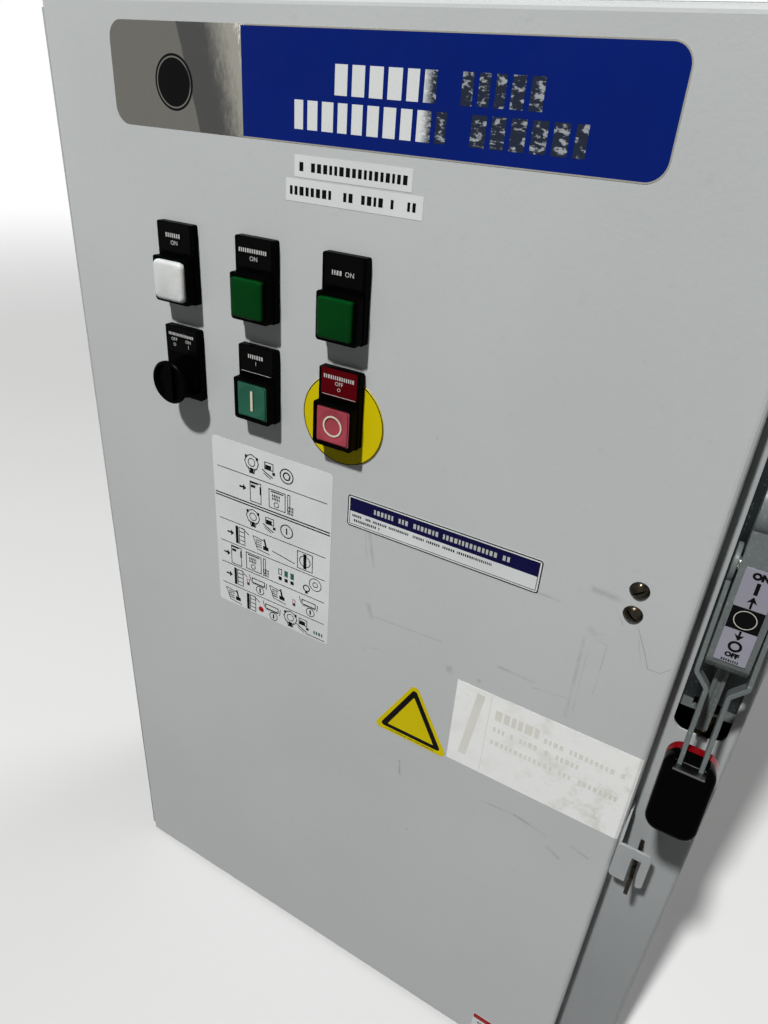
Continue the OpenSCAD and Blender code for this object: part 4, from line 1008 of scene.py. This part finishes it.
# %% Tapes
sticker("tapes", [rounded(-58.9, 707.9, 16.4, 719.2, 0.4),
                  rounded(-64.8, 695.0, 23.8, 706.7, 0.4)], white_vinyl)
bm = bmesh.new()
small_print(bm, -55.5, 713.4, 70.5, 4.6, 9, 1, 0.16, 3, *ON_STICKER)
small_print(bm, -62.0, 700.8, 83.5, 4.6, 9, 1, 0.16, 8, *ON_STICKER)
on_door("tape_print", bm, black_ink)

# %% [markdown]
# ## Notice
# A wide white label with a navy heading inside a double frame. Both lines of the frame
# are the label's own outline, set in by a little.

# %% Notice
notice = (-13.8, 495.5, 124.0, 519.8)


def inset(box, by):
    return (box[0] + by, box[1] + by, box[2] - by, box[3] - by)


sticker("notice", [rounded(*notice, 2.4)], white_vinyl)
bm = bmesh.new()
hoop(bm, rounded(*inset(notice, 0.3), 2.1), rounded(*inset(notice, 1.1), 1.5), *ON_STICKER)
hoop(bm, rounded(*inset(notice, 2.1), 0.3), rounded(*inset(notice, 2.5), 0.1), *ON_STICKER)
small_print(bm, -9.5, 504.6, 104, 1.8, 4.0, 1, 0.14, 5, *ON_STICKER)
small_print(bm, -9.5, 501.0, 22, 1.9, 4.0, 1, 0.16, 2, *ON_STICKER)
on_door("notice_print", bm, black_ink)
bm = bmesh.new()
slab(bm, rounded(-11.3, 507.6, 121.5, 517.3), *ON_STICKER)
on_door("notice_heading", bm, navy_ink)
bm = bmesh.new()
small_print(bm, 4.0, 512.4, 100, 3.5, 9, 1, 0.12, 12, *ON_INK)
on_door("notice_heading_print", bm, white_ink)

# %% [markdown]
# ## Corner label
# A small white label with a red band, at the foot of the door.

# %% Corner label
sticker("corner_label", [rounded(145, 11, 203, 38.6, 1.0)], white_vinyl)
bm = bmesh.new()
slab(bm, rounded(145.3, 32.0, 202.7, 38.3, 0.8), *ON_STICKER)
on_door("corner_label_band", bm, red_vinyl)
bm = bmesh.new()
small_print(bm, 150, 27.0, 48, 2.4, 5.2, 3, 0.16, 21, *ON_STICKER)
on_door("corner_label_print", bm, black_ink)

# %% [markdown]
# ## Shapes of the marks
# A tall white label below the selector has rows of small plain marks between ruled
# lines. Each mark is made of a few shapes: rings, boxes, blocks, lines, an arrow's head
# and lines of small print.

# %% Shapes of the marks
THIN = 0.65


def ring(bm, x, y, r, wide=THIN, steps=24):
    hoop(bm, round_disc(x, y, r, steps), round_disc(x, y, r - wide, steps), *ON_STICKER)


def box(bm, x, y, wide, high, line=THIN):
    outer = rounded(x - wide / 2, y - high / 2, x + wide / 2, y + high / 2)
    inner = rounded(x - wide / 2 + line, y - high / 2 + line, x + wide / 2 - line,
                    y + high / 2 - line)
    hoop(bm, outer, inner, *ON_STICKER)


def block(bm, x, y, wide, high):
    slab(bm, rounded(x - wide / 2, y - high / 2, x + wide / 2, y + high / 2), *ON_STICKER)


def line(bm, x0, y0, x1, y1, wide=THIN):
    stroke(bm, x0, y0, x1, y1, wide, *ON_STICKER)


def head(bm, x, y):
    slab(bm, [(x + 0.4, y - 2.6), (x + 3.4, y), (x + 0.4, y + 2.6)], *ON_STICKER)


def words(bm, x, y, *numbers):
    small_print(bm, x, y, *numbers, *ON_STICKER)


def mark(bm, x, y, shapes):
    """Draw a mark round a point; its shapes are placed from that point."""
    for shape, across, up, *numbers in shapes:
        if shape is line:
            numbers[:2] = x + numbers[0], y + numbers[1]
        shape(bm, x + across, y + up, *numbers)


print("shapes drawn with lines", THIN, "mm wide")

# %% [markdown]
# ## Marks for the instruction label
# A mark is a list of shapes. Each has the shape's function, its place from the middle of
# the mark, and its sizes in mm. A line has its two ends and its width. Small print has
# its length, height, pitch, number of lines, share of spaces and seed.

# %% Marks for the instruction label
MARKS = {
    "ring and stem": [
        (ring, 0, 1.6, 6.6, 0.8, 8), (ring, 0, 1.6, 3.4),
        (block, -4.9, 5.4, 2.2, 2.2), (line, -3.2, -2.4, -1.8, -7.4),
        (block, 4.9, 5.4, 2.2, 2.2), (line, 3.2, -2.4, 1.8, -7.4),
        (block, 0, -5.0, 3.4, 4.4)],
    "box and slopes": [
        (box, 0, 3.0, 8.0, 6.0), (block, -0.6, 2.2, 5.2, 3.2),
        (line, -6.2, -0.8, 3.4, -5.4, 0.9), (line, -4.8, -3.4, 1.4, -6.6),
        (block, 4.2, -1.8, 2.4, 2.4)],
    "double ring": [(ring, 0, 0, 6.0, 0.9), (ring, 0, 0, 3.3, 1.1)],
    "ring and bar": [(ring, 0, 0, 5.8, 0.9), (block, 0, 0, 1.2, 5.4)],
    "arrow": [(block, -1.2, 0, 3.6, 1.5), (head, 0, 0)],
    "tall box": [
        (box, 0, 0, 10.5, 17.0), (block, -1.0, 7.4, 7.0, 1.1), (block, -2.2, 4.6, 4.0, 2.2),
        (block, 4.6, 2.6, 1.5, 6.4)],
    "two boxes": [
        (box, 0, 0, 15.0, 15.6), (block, 0, 6.0, 11.0, 1.0),
        (words, -4.4, 3.0, 7.6, 2.0, 2.6, 2, 0.0, 17), (ring, -0.6, -4.0, 2.3),
        (box, 10.4, 1.0, 2.6, 14.0), (words, 9.2, -2.4, 5.4, 1.8, 2.4, 3, 0.1, 23)],
    "ladder": [
        (block, -3.6, 0, 2.6, 15.6), (box, 1.2, 0, 6.0, 15.0), (block, 1.2, -3.8, 6.0, THIN),
        (block, 1.2, 0, 6.0, THIN), (block, 1.2, 3.8, 6.0, THIN), (line, 2.0, 7.6, 8.0, 3.6, 0.8)],
    "sloping field": [
        (line, -9, 5, -5, -5.6), (line, -5, -5.6, 6.5, -6.6), (line, -9, 5, 1.0, 3.8),
        (words, -6.4, 2.4, 5.6, 1.2, 1.9, 4, 0.1, 29), (block, 3.0, -2.4, 5.0, 3.4),
        (line, 1.6, 5.6, 3.4, -1.6, 1.6)],
    "low box": [
        (box, 0, 3.0, 13.0, 4.8, 0.8), (words, -5.4, 0.2, 11.4, 1.2, 1.2, 1, 0.0, 37),
        (line, -8.6, 7.0, -7.2, 1.4), (line, 8.2, 5.0, 7.6, -1.0), (ring, 1.6, -4.2, 4.0),
        (block, 1.6, -4.2, 1.4, 4.2)],
    "ring in box": [(box, 0, 0, 14.0, 15.6), (ring, 0, 0, 5.0), (block, 0, 0, 2.8, 13.0)],
    "three blocks": [
        (box, -5.6, 2.0, 3.4, 5.4), (block, -5.6, -4.0, 3.0, 3.2), (block, 0, -4.0, 3.0, 3.2),
        (block, 5.6, -4.0, 3.0, 3.2)],
    "three rings": [
        (ring, 3.6, 2.6, 5.6), (ring, 3.6, 2.6, 2.4), (ring, -4.2, -3.6, 3.2, 1.0),
        (block, -4.2, -7.0, 2.4, 2.6)],
    "small block": [(block, 0, -2.6, 2.6, 2.0)],
}
print("kinds of marks:", len(MARKS))

# %% [markdown]
# ## Instruction label
# The heights of the rows were measured in the photograph. A loop draws each mark of the
# table at its places, all of one ink into one mesh.

# %% Instruction label
LABEL = (-132.0, 383.0, -26.0, 529.5)
ROWS = (516.0, 494.0, 471.0, 451.2, 431.2, 411.4, 391.8)
top, second, third, fourth, fifth, sixth, last = ROWS
MARKS_AT = {
    "ring and stem": ((-95.5, top), (-95.5, third), (-61.0, last + 0.5)),
    "box and slopes": ((-80.0, top), (-80.0, third), (-49.0, last)),
    "double ring": ((-64.5, top),),
    "ring and bar": ((-64.5, third),),
    "arrow": ((-104.5, second + 1), (-118.0, fourth), (-122.5, fifth), (-121.0, sixth)),
    "tall box": ((-92.5, second), (-113.0, fifth)),
    "two boxes": ((-73.0, second), (-96.0, fifth)),
    "ladder": ((-108.0, fourth), (-111.0, sixth), (-99.0, last)),
    "sloping field": ((-87.0, fourth), (-72.0, sixth), (-116.0, last)),
    "low box": ((-92.0, sixth), (-44.0, sixth), (-79.0, last)),
    "ring in box": ((-48.0, fourth),),
    "three blocks": ((-65.0, fifth),),
    "three rings": ((-42.0, fifth + 0.5),),
    "small block": ((-102.0, sixth), (-57.6, sixth - 1)),
}
sticker("instruction_label", [rounded(*LABEL, 3.0)], white_vinyl)
bm = bmesh.new()
for z in (505.8, 461.4, 441.4, 421.4, 401.4):
    block(bm, -79, z, 98.0, 0.6)
for z in (483.4, 481.2):
    block(bm, -79, z, 104.0, 1.0)
for name, places in MARKS_AT.items():
    for x, y in places:
        mark(bm, x, y, MARKS[name])
line(bm, -78, fourth - 2.0, -57, fourth - 5.4, 0.7)
small_print(bm, -46.0, 385.2, 17.0, 1.2, 2.0, 1, 0.0, 4, *ON_STICKER)
on_door("instruction_print", bm, black_ink)

bm = bmesh.new()
for x in (-65.0, -59.4):
    block(bm, x, fifth + 2.0, 3.2, 5.4)
small_print(bm, -39.0, last - 2.0, 8.6, 3.0, 3.0, 1, 0.0, 2, *ON_STICKER)
on_door("instruction_green", bm, start_green)
bm = bmesh.new()
slab(bm, round_disc(-89.6, last - 2.5, 2.6, 20), *ON_STICKER)
box(bm, -102.0, sixth + 0.4, 2.6, 3.6, 0.5)
box(bm, -57.6, sixth - 0.6, 2.6, 3.6, 0.5)
on_door("instruction_red", bm, red_vinyl)

# %% [markdown]
# ## Faded label
# The label by the door's edge has lost nearly all its ink: what is left is a pale
# field, a rule and ghosts of lines. Its last millimetres follow the door's fold, so it
# is made as a strip of cross-sections that bends with the fold.

# %% Faded label on the fold
fold_r = 4.0


def fold_depth(x):
    """How far the door's face falls back at x, in mm: nothing until the fold starts."""
    past = max(0.0, x - (door_edge - fold_r))
    return fold_r - math.sqrt(max(0.0, fold_r ** 2 - past ** 2))


def bent_strip(bm, x0, y0, x1, y1, low, high, columns):
    """A flat sheet between two corners that follows the fold at its right end."""
    xs = [x0 + (x1 - x0) * i / columns for i in range(columns + 1)]
    rows = [[bm.verts.new((x, y, z - fold_depth(x))) for x in xs]
            for y, z in ((y0, low), (y1, low), (y1, high), (y0, high))]
    for i in range(columns):
        for a, b in ((0, 1), (1, 2), (2, 3), (3, 0)):
            bm.faces.new((rows[b][i], rows[b][i + 1], rows[a][i + 1], rows[a][i]))
    bm.faces.new([row[0] for row in rows])
    bm.faces.new([row[-1] for row in rows][::-1])
    bmesh.ops.recalc_face_normals(bm, faces=bm.faces)


faded = (82.0, 329.6, 209.6, 405.4)
bm = bmesh.new()
bent_strip(bm, *faded, 0, STICKER, 64)
on_door("faded_label", bm, faded_vinyl)
bm = bmesh.new()
slab(bm, [(90.0, 340), (96.0, 340), (103.5, 401), (97.5, 401)], *ON_STICKER)
stroke(bm, 108.0, 331.0, 108.0, 404.0, 0.5, *ON_STICKER)
small_print(bm, 112.5, 389.0, 32, 9.0, 9, 1, 0.0, 7, *ON_STICKER, gap=0.16)
small_print(bm, 148.0, 386.0, 56, 4.6, 9, 1, 0.14, 9, *ON_STICKER)
small_print(bm, 112.5, 376.0, 62, 4.6, 9, 1, 0.14, 31, *ON_STICKER)
small_print(bm, 112.5, 364.0, 90, 4.6, 9, 1, 0.14, 33, *ON_STICKER)
on_door("faded_print", bm, faint_ink)

# %% [markdown]
# ## Yellow triangle
# A triangle whose corners are arcs. Its outline is the path of a small circle round
# three points, so the sticker and both edges of its black frame are one function with
# three sizes.

# %% Yellow triangle
def round_triangle(x, y, half, high, r, steps=6):
    """Outline of a triangle with its point up, its corners rounded by r."""
    slope = math.atan2(high, half)
    corners = [(x - half, y, 90 + math.degrees(slope)), (x + half, y, -90),
               (x, y + high, 90 - math.degrees(slope))]
    turns = [180 - math.degrees(slope), 180 - math.degrees(slope), 2 * math.degrees(slope)]
    points = []
    for (cx, cy, start), turn in zip(corners, turns):
        points += [(cx + r * math.cos(math.radians(start + turn * i / steps)),
                    cy + r * math.sin(math.radians(start + turn * i / steps)))
                   for i in range(steps + 1)]
    return points


triangle_x = 51.0
sticker("triangle", [round_triangle(triangle_x, 330.6, 25.6, 46.6, 3.8)], yellow_vinyl)
bm = bmesh.new()
hoop(bm, round_triangle(triangle_x, 332.8, 22.6, 42.4, 2.2),
     round_triangle(triangle_x, 334.6, 18.6, 35.4, 0.6), *ON_STICKER)
small_print(bm, 30.0, 328.9, 42, 1.0, 2.0, 1, 0.16, 14, *ON_STICKER)
on_door("triangle_frame", bm, black_ink)

# %% [markdown]
# ## Operators
# The lamps' lenses are pillows: a square with round corners whose edge rolls over and
# whose face is a little crowned. The CAD model has plain stepped ones, so these stand
# in for them. The marks on the legends, the caps and the disc are print again.

# %% Lenses
def pillow(bm, wide, high, corner, edge, tall, crown, bevel_steps=5, steps=6):
    """A closed pillow on z 0: straight walls, a rolled edge, then a crowned face."""
    levels = [(0.0, 0.0), (0.0, tall - edge)]
    for i in range(1, bevel_steps + 1):
        a = math.radians(90 * i / bevel_steps)
        levels.append((edge * (1 - math.cos(a)), tall - edge + edge * math.sin(a)))
    span = min(wide, high) / 2 - edge
    for share in (0.25, 0.5, 0.75, 0.92):
        levels.append((edge + span * share, tall + crown * (1 - (1 - share) ** 2)))
    rings = []
    for inset_by, z in levels:
        r = max(corner - inset_by, 0.25)
        outline = rounded(-wide / 2 + inset_by, -high / 2 + inset_by,
                          wide / 2 - inset_by, high / 2 - inset_by, r, steps)
        rings.append([bm.verts.new((x, y, z)) for x, y in outline])
    for low, top_ring in zip(rings, rings[1:]):
        for i in range(len(low)):
            j = (i + 1) % len(low)
            bm.faces.new((low[i], low[j], top_ring[j], top_ring[i]))
    bm.faces.new(rings[-1])
    bm.faces.new(rings[0][::-1])


def middle_of(node):
    low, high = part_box(node)
    return (low + high) * 500


head_front = 1000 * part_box("operator_heads")[0].y
sunk = 2.0
for node_name, name, wide, corner, edge, proud, crown, material, slot in (
        ("power_lens", "power_lens_cap", 25.4, 4.0, 2.6, 2.6, 0.5, white_lens, "lens_white"),
        ("run_lens", "run_lens_cap", 24.0, 2.0, 1.6, 2.6, 0.25, green_lens, "lens_green"),
        ("backup_lens", "backup_lens_cap", 24.0, 2.0, 1.6, 2.6, 0.25, green_lens, "lens_green")):
    middle = middle_of(node_name)
    bm = bmesh.new()
    pillow(bm, wide, wide, corner, edge, proud + sunk, crown)
    cap = stand(name, bm, (middle.x, head_front + sunk, middle.z), material, "door",
                smooth=True)
    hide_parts(node_name)

# %% [markdown]
# ## Marks on the legends
# The legends say ON or OFF with I or O, and have a line of small print above. Real
# letters come from a text object, which is made a mesh first and then moved, so that its
# place is in the mesh.

# %% Marks on the legends
insert_front = 1000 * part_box("legend_inserts")[0].y
columns = sorted(middle_of(n).x for n in ("power_lens", "run_lens", "stop_button"))
low_row = middle_of("start_button").z
high_row = middle_of("power_lens").z
FLAT = (0.0, 0.06)
bm = bmesh.new()
left, centre, right = columns
for middle, z, length, tall in (
        (left, high_row + 27.2, 13.6, 2.6), (centre, high_row + 27.2, 22.4, 2.4),
        (right - 4.0, high_row + 24.6, 7.0, 2.6), (left, low_row + 29.6, 22.0, 1.9),
        (centre, low_row + 28.4, 12.4, 2.6)):
    small_print(bm, middle - length / 2, z, length, tall, tall, 1, 0.0, int(z), *FLAT,
                wide=(0.28, 0.5), gap=0.3)
for word, x, z, tall in (
        ("ON", left, high_row + 22.8, 2.7), ("ON", centre, high_row + 22.8, 2.7),
        ("ON", right + 4.4, high_row + 24.6, 2.8), ("OFF", left - 6.2, low_row + 26.0, 2.2),
        ("ON", left + 6.2, low_row + 26.0, 2.2), ("O", left - 6.2, low_row + 22.4, 2.2),
        ("I", left + 6.2, low_row + 22.4, 2.2), ("I", centre, low_row + 24.2, 2.6)):
    letters(bm, word, x, z, tall, *FLAT)
slab(bm, rounded(centre - 12.0, low_row + 17.6, centre + 12.0, low_row + 17.9), *FLAT)
stand("legend_marks", bm, (0, insert_front, 0), white_ink, "door")
bm = bmesh.new()
small_print(bm, right - 11.2, low_row + 29.4, 22.4, 2.4, 2.4, 1, 0.0, 9, *FLAT,
            wide=(0.28, 0.5), gap=0.3)
letters(bm, "OFF", right, low_row + 25.8, 2.4, *FLAT)
letters(bm, "O", right, low_row + 22.2, 2.2, *FLAT)
slab(bm, rounded(right - 12.0, low_row + 17.6, right + 12.0, low_row + 17.9), *FLAT)
stand("stop_legend_marks", bm, (0, insert_front, 0), white_ink, "door")

# %% [markdown]
# ## Marks on the caps
# The start cap has an upright bar and the stop cap a ring, both printed. They ride on
# the caps, which move when they are pressed, while the thin black edge of the yellow
# disc rides on the door.

# %% Marks on the caps and round the disc
def front_of(node):
    """A node's foremost y in mm, where its print lies."""
    return 1000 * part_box(node)[0].y


def on_front(name, bm, node, material, body):
    """Lay a drawing on the middle of a node's front."""
    at = middle_of(node)
    stand(name, bm, (at.x, front_of(node), at.z), material, body)


bm = bmesh.new()
slab(bm, rounded(-0.9, -7.0, 0.9, 7.0, 0.5), 0, INK)
on_front("start_mark", bm, "start_button", ivory_ink, "start_button")

bm = bmesh.new()
hoop(bm, round_disc(0, 0, 7.0, 40), round_disc(0, 0, 5.8, 40), 0, INK)
on_front("stop_mark", bm, "stop_button", ivory_ink, "stop_button")

disc_low, disc_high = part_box("stop_disc")
disc_r = 500 * (disc_high.x - disc_low.x)
bm = bmesh.new()
hoop(bm, round_disc(0, 0, disc_r - 0.1, 72), round_disc(0, 0, disc_r - 0.7, 72), 0, INK)
on_front("stop_disc_edge", bm, "stop_disc", black_ink, "door")

# %% [markdown]
# ## Marks on the nameplate
# The nameplate says which way the lever goes, with ON and I above, O and OFF below, and
# an arrow to each. A ring lies on the dark square between the arrows.

# %% Marks on the nameplate
plate = middle_of("handle_nameplate")
bm = bmesh.new()
slab(bm, rounded(-7.9, 524.3, 7.9, 538.1), 0, INK)
letters(bm, "ON", 0, 557.6, 4.4, 0, INK, bold=0.075)
slab(bm, rounded(-0.95, 546.9, 0.95, 554.1), 0, INK)
slab(bm, [(-2.5, 541.8), (-0.55, 542.6), (-0.55, 538.4), (0.55, 538.4), (0.55, 542.6),
          (2.5, 541.8), (0, 545.9)], 0, INK)
slab(bm, [(2.5, 521.8), (0.55, 521.0), (0.55, 524.0), (-0.55, 524.0), (-0.55, 521.0),
          (-2.5, 521.8), (0, 517.9)], 0, INK)
hoop(bm, round_disc(0, 513.9, 3.5, 32), round_disc(0, 513.9, 2.1, 32), 0, INK)
letters(bm, "OFF", 0, 508.2, 3.3, 0, INK, bold=0.07)
small_print(bm, -4.4, 504.3, 9.0, 1.5, 1.5, 1, 0.0, 6, 0, INK)
stand("nameplate_marks", bm, (plate.x, front_of("handle_nameplate"), 0), black_ink, "root")
bm = bmesh.new()
hoop(bm, round_disc(0, 531.2, 5.6, 40), round_disc(0, 531.2, 5.2, 40), INK, 2 * INK)
stand("nameplate_ring", bm, (plate.x, front_of("handle_nameplate"), 0), pale_ink, "root")

# %% [markdown]
# ## Places on the lever
# The lever turns about its pin, and at rest it leans out from the housing. Its pieces
# are drawn upright in millimetres, with the pin at the origin, and one matrix brings
# them to their place.

# %% Places on the lever
pivot = middle_of("lever_pin")
lever_tilt = math.radians(-18)
to_lever = (Matrix.Translation(Vector((plate.x, pivot.y, pivot.z)) * MM)
            @ Matrix.Rotation(lever_tilt, 4, "X"))
CREASE = math.radians(50)


def place_on_lever(point):
    """A point given in mm on the lever, in metres in the frame."""
    return to_lever @ (Vector(point) * MM)


def lever_mesh(mesh):
    """Bring a drawing in mm, x across and y up the lever, to its place on it."""
    mesh.transform(to_lever @ STAND_UP @ TO_METRES)
    return mesh


def smooth_except_creases(piece, degrees=32):
    piece.data.set_sharp_from_angle(angle=math.radians(degrees))
    for face in piece.data.polygons:
        face.use_smooth = True


def softened(piece, width):
    """Give a piece a bevel on its sharp edges; the width is in mm."""
    edges = piece.modifiers.new("edges", "BEVEL")
    edges.width, edges.segments = width * MM, 2
    edges.limit_method, edges.angle_limit = "ANGLE", CREASE
    return piece


print("lever's pin at", [round(c, 1) for c in pivot])

# %% [markdown]
# ## Grip shells
# The grip is two glossy shells, black in front and red behind, with soft edges that a
# CAD model would need many facets for. Each is the pillow form again, deeper and with a
# wider roll. The back half is mirrored, so its faces are turned round again to point
# outwards. A Boolean modifier cuts the notch in the front half where the two bars go
# in, and a bevel rounds its rim: on glossy black such an edge catches the light.

# %% Grip shells
grip_wide, grip_tall, grip_deep = 28.0, 47.5, 24.5
grip_top = -109.0
notch_deep = 7.0


def notched(piece, x0, y0, z0, x1, y1, z1):
    """Cut a block out of the piece and round the rim of the cut."""
    bm = bmesh.new()
    bmesh.ops.create_cube(bm, size=1.0)
    cutter_mesh = mesh_of("cutter", bm)
    cutter_mesh.transform(Matrix.Translation(((x0 + x1) / 2, (y0 + y1) / 2, (z0 + z1) / 2))
                          @ Matrix.Diagonal((x1 - x0, y1 - y0, z1 - z0, 1)))
    cutter = bpy.data.objects.new("cutter", cutter_mesh)
    bpy.context.scene.collection.objects.link(cutter)
    cut = piece.modifiers.new("cut", "BOOLEAN")
    cut.operation, cut.solver, cut.object = "DIFFERENCE", "EXACT", cutter
    rim = piece.modifiers.new("rim", "BEVEL")
    rim.width, rim.segments, rim.limit_method = 1.1, 3, "ANGLE"
    rim.angle_limit = CREASE
    seen = piece.evaluated_get(bpy.context.evaluated_depsgraph_get())
    mesh = bpy.data.meshes.new_from_object(seen)
    bpy.data.objects.remove(cutter)
    bpy.data.objects.remove(piece)
    return mesh


def grip_shell(name, material, front):
    bm = bmesh.new()
    pillow(bm, grip_wide, grip_tall, 8.0, 4.2, grip_deep / 2, 0.0, bevel_steps=7, steps=8)
    bmesh.ops.translate(bm, verts=bm.verts, vec=(0, grip_top - grip_tall / 2, 0))
    if not front:
        bmesh.ops.scale(bm, verts=bm.verts, vec=(1, 1, -1))
        bmesh.ops.reverse_faces(bm, faces=bm.faces)
    mesh = mesh_of(name, bm)
    if front:
        rough_piece = bpy.data.objects.new("rough", mesh)
        bpy.context.scene.collection.objects.link(rough_piece)
        mesh = notched(rough_piece, -8.6, grip_top - notch_deep, 1.5, 8.6, grip_top + 3, 14.0)
    return new_piece(name, lever_mesh(mesh), material, "lever")


front_shell = grip_shell("grip_front_shell", gloss_black, True)
back_shell = grip_shell("grip_back_shell", grip_red, False)
for shell, node_name in ((front_shell, "grip_front"), (back_shell, "grip_back")):
    smooth_except_creases(shell)
    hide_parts(node_name)

# %% [markdown]
# ## Polished rim
# Between the bars, where the notch ends, the black shell has a narrow polished rim. It
# is a clear coat on the shell's material that is there only in a thin band along the
# lever and only between the bars.

# %% Polished rim
def polished_rim(material):
    tree, shader, place = opened(material)
    rim_at = place_on_lever((0, 0, grip_top - notch_deep))
    from_rim = add(tree, "ShaderNodeVectorMath", {0: place, 1: rim_at},
                   operation="SUBTRACT").outputs["Vector"]
    lever_up = to_lever.to_3x3() @ Vector((0, 0, 1))
    along = add(tree, "ShaderNodeVectorMath", {0: from_rim, 1: lever_up},
                operation="DOT_PRODUCT").outputs["Value"]
    across = maths("ABSOLUTE", xyz(from_rim)[0])
    band = times(ramp(along, -0.0013, -0.0009), ramp(along, 0.0002, 0.0006, 1.0, 0.0))
    band = times(band, ramp(across, 0.0080, 0.0088, 1.0, 0.0))
    fill(shader, {"Coat Weight": band, "Coat Roughness": 0.28, "Coat IOR": 1.9})


polished_rim(gloss_black)
print("polished rim on", gloss_black.name)

# %% [markdown]
# ## Middle line of a lever bar
# Two flat bars straddle the housing and step inwards below it, to where the grip holds
# them. They are bent over a former, so a step has round bends. The middle line of a bar
# is drawn with an arc at each bend, and given a thickness on both sides.

# %% Middle line of a lever bar
bar_thick, bar_wide, hub_radius, pin_hole = 2.5, 11.0, 11.0, 4.05
bar_line = ((13.25, -4.6), (13.25, -62.5), (5.75, -70.0), (5.75, -149.0))


def bent_line(corners, radius, steps=6):
    """A line of points with an arc of a radius at each corner between the ends."""
    line = [Vector(corners[0])]
    for before, corner, after in zip(corners, corners[1:], corners[2:]):
        back = (Vector(before) - Vector(corner)).normalized()
        ahead = (Vector(after) - Vector(corner)).normalized()
        half = back.angle(ahead) / 2
        centre = Vector(corner) + (back + ahead).normalized() * radius / math.sin(half)
        start = (Vector(corner) + back * radius / math.tan(half) - centre).normalized()
        end = (Vector(corner) + ahead * radius / math.tan(half) - centre).normalized()
        line += [centre + start.slerp(end, i / steps) * radius for i in range(steps + 1)]
    return line + [Vector(corners[-1])]


def both_sides(line, thick):
    """The closed outline of a strip that has this middle line."""
    left, right = [], []
    for i, point in enumerate(line):
        run = (line[min(i + 1, len(line) - 1)] - line[max(i - 1, 0)]).normalized()
        across = Vector((-run.y, run.x)) * thick / 2
        left.append(point + across)
        right.append(point - across)
    return left + right[::-1]


bend_radius = 3.0
middle_line = bent_line(bar_line, bend_radius)
print("middle line of", len(middle_line), "points")

# %% [markdown]
# ## Lever bars
# The outline of a bar is pulled out to the bar's width, and a round hub for the pin is
# added at its top. A bevel breaks the edges so that they don't cut, and that thin slope
# is what shines along a real bar.

# %% Lever bars
hub_low = bar_line[0][0] - bar_thick / 2 - 0.05
hub_high = bar_line[0][0] + bar_thick / 2 + 0.05
bm = bmesh.new()
for side in (-1, 1):
    outline = both_sides(middle_line, bar_thick)
    slab(bm, [(side * p.x, p.y) for p in outline], -bar_wide / 2, bar_wide / 2)
    hub = bmesh.new()
    hoop(hub, round_disc(0, 0, hub_radius, 40), round_disc(0, 0, pin_hole, 40), hub_low,
         hub_high)
    bmesh.ops.transform(hub, verts=hub.verts,
                        matrix=Matrix.Rotation(math.radians(90 * side), 4, "Y"))
    spare = mesh_of("spare", hub)
    bm.from_mesh(spare)
    bpy.data.meshes.remove(spare)
bmesh.ops.recalc_face_normals(bm, faces=bm.faces)
mesh = lever_mesh(mesh_of("lever_bars", bm))
lever_bars = softened(new_piece("lever_bars", mesh, bar_steel, "lever"), 0.45)
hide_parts("lever_yoke")

# %% [markdown]
# ## Hasp on the door's edge
# The hasp is a strip of sheet, bent at a right angle and painted like the enclosure.
# The CAD node has the strip with sharp edges. Paint and bending leave them round, and
# round edges are what the light picks out here, so a copy of the node gets a bevel. The
# copy is merged first, because a node's mesh is loose triangles.

# %% Hasp with round edges
bm = bmesh.new()
bm.from_mesh(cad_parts["door_hasp"].data)
bmesh.ops.remove_doubles(bm, verts=bm.verts, dist=0.000002)
bmesh.ops.dissolve_limit(bm, angle_limit=math.radians(1), verts=bm.verts, edges=bm.edges)
mesh = mesh_of("hasp_strip", bm)
hasp_strip = softened(new_piece("hasp_strip", mesh, body_paint, "door"), 0.8)
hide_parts("door_hasp")

# %% [markdown]
# ## Foam gasket
# A strip of soft foam runs round the back of the door and is pressed by the lip of the
# enclosure. It was laid as a bead, so its free side is round. The bead is a ring of
# closed outlines, each one a step further round its section.

# %% Foam gasket
def foam_ring(low, high, wide, deep, back, steps=7, corner=9.0):
    """Outlines from the outer foot over the round top to the inner foot, closed behind."""
    section = [(0.0, 0.0)]
    for i in range(steps + 1):
        a = math.pi * (1 - i / steps)
        section.append((wide / 2 + wide / 2 * math.cos(a) * 0.995,
                        deep * (0.55 + 0.45 * math.sin(a))))
    section.append((wide, 0.0))
    bm = bmesh.new()
    rings = []
    for off, out in section:
        outline = rounded(low.x + off, low.z + off, high.x - off, high.z - off,
                          max(corner - off, 0.6), 5)
        rings.append([bm.verts.new((x, back + out, z)) for x, z in outline])
    for first, second in zip(rings, rings[1:] + rings[:1]):
        for i in range(len(first)):
            j = (i + 1) % len(first)
            bm.faces.new((first[i], first[j], second[j], second[i]))
    bmesh.ops.recalc_face_normals(bm, faces=bm.faces)
    return mesh_of("foam_gasket", bm)


gasket_low, gasket_high = (1000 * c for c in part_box("door_gasket"))
gasket_mesh = foam_ring(gasket_low, gasket_high, 12.0, gasket_high.y - gasket_low.y,
                        gasket_low.y)
gasket_mesh.transform(TO_METRES)
foam_gasket = new_piece("foam_gasket", gasket_mesh, gasket_foam, "door")
smooth_except_creases(foam_gasket, 50)
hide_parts("door_gasket")
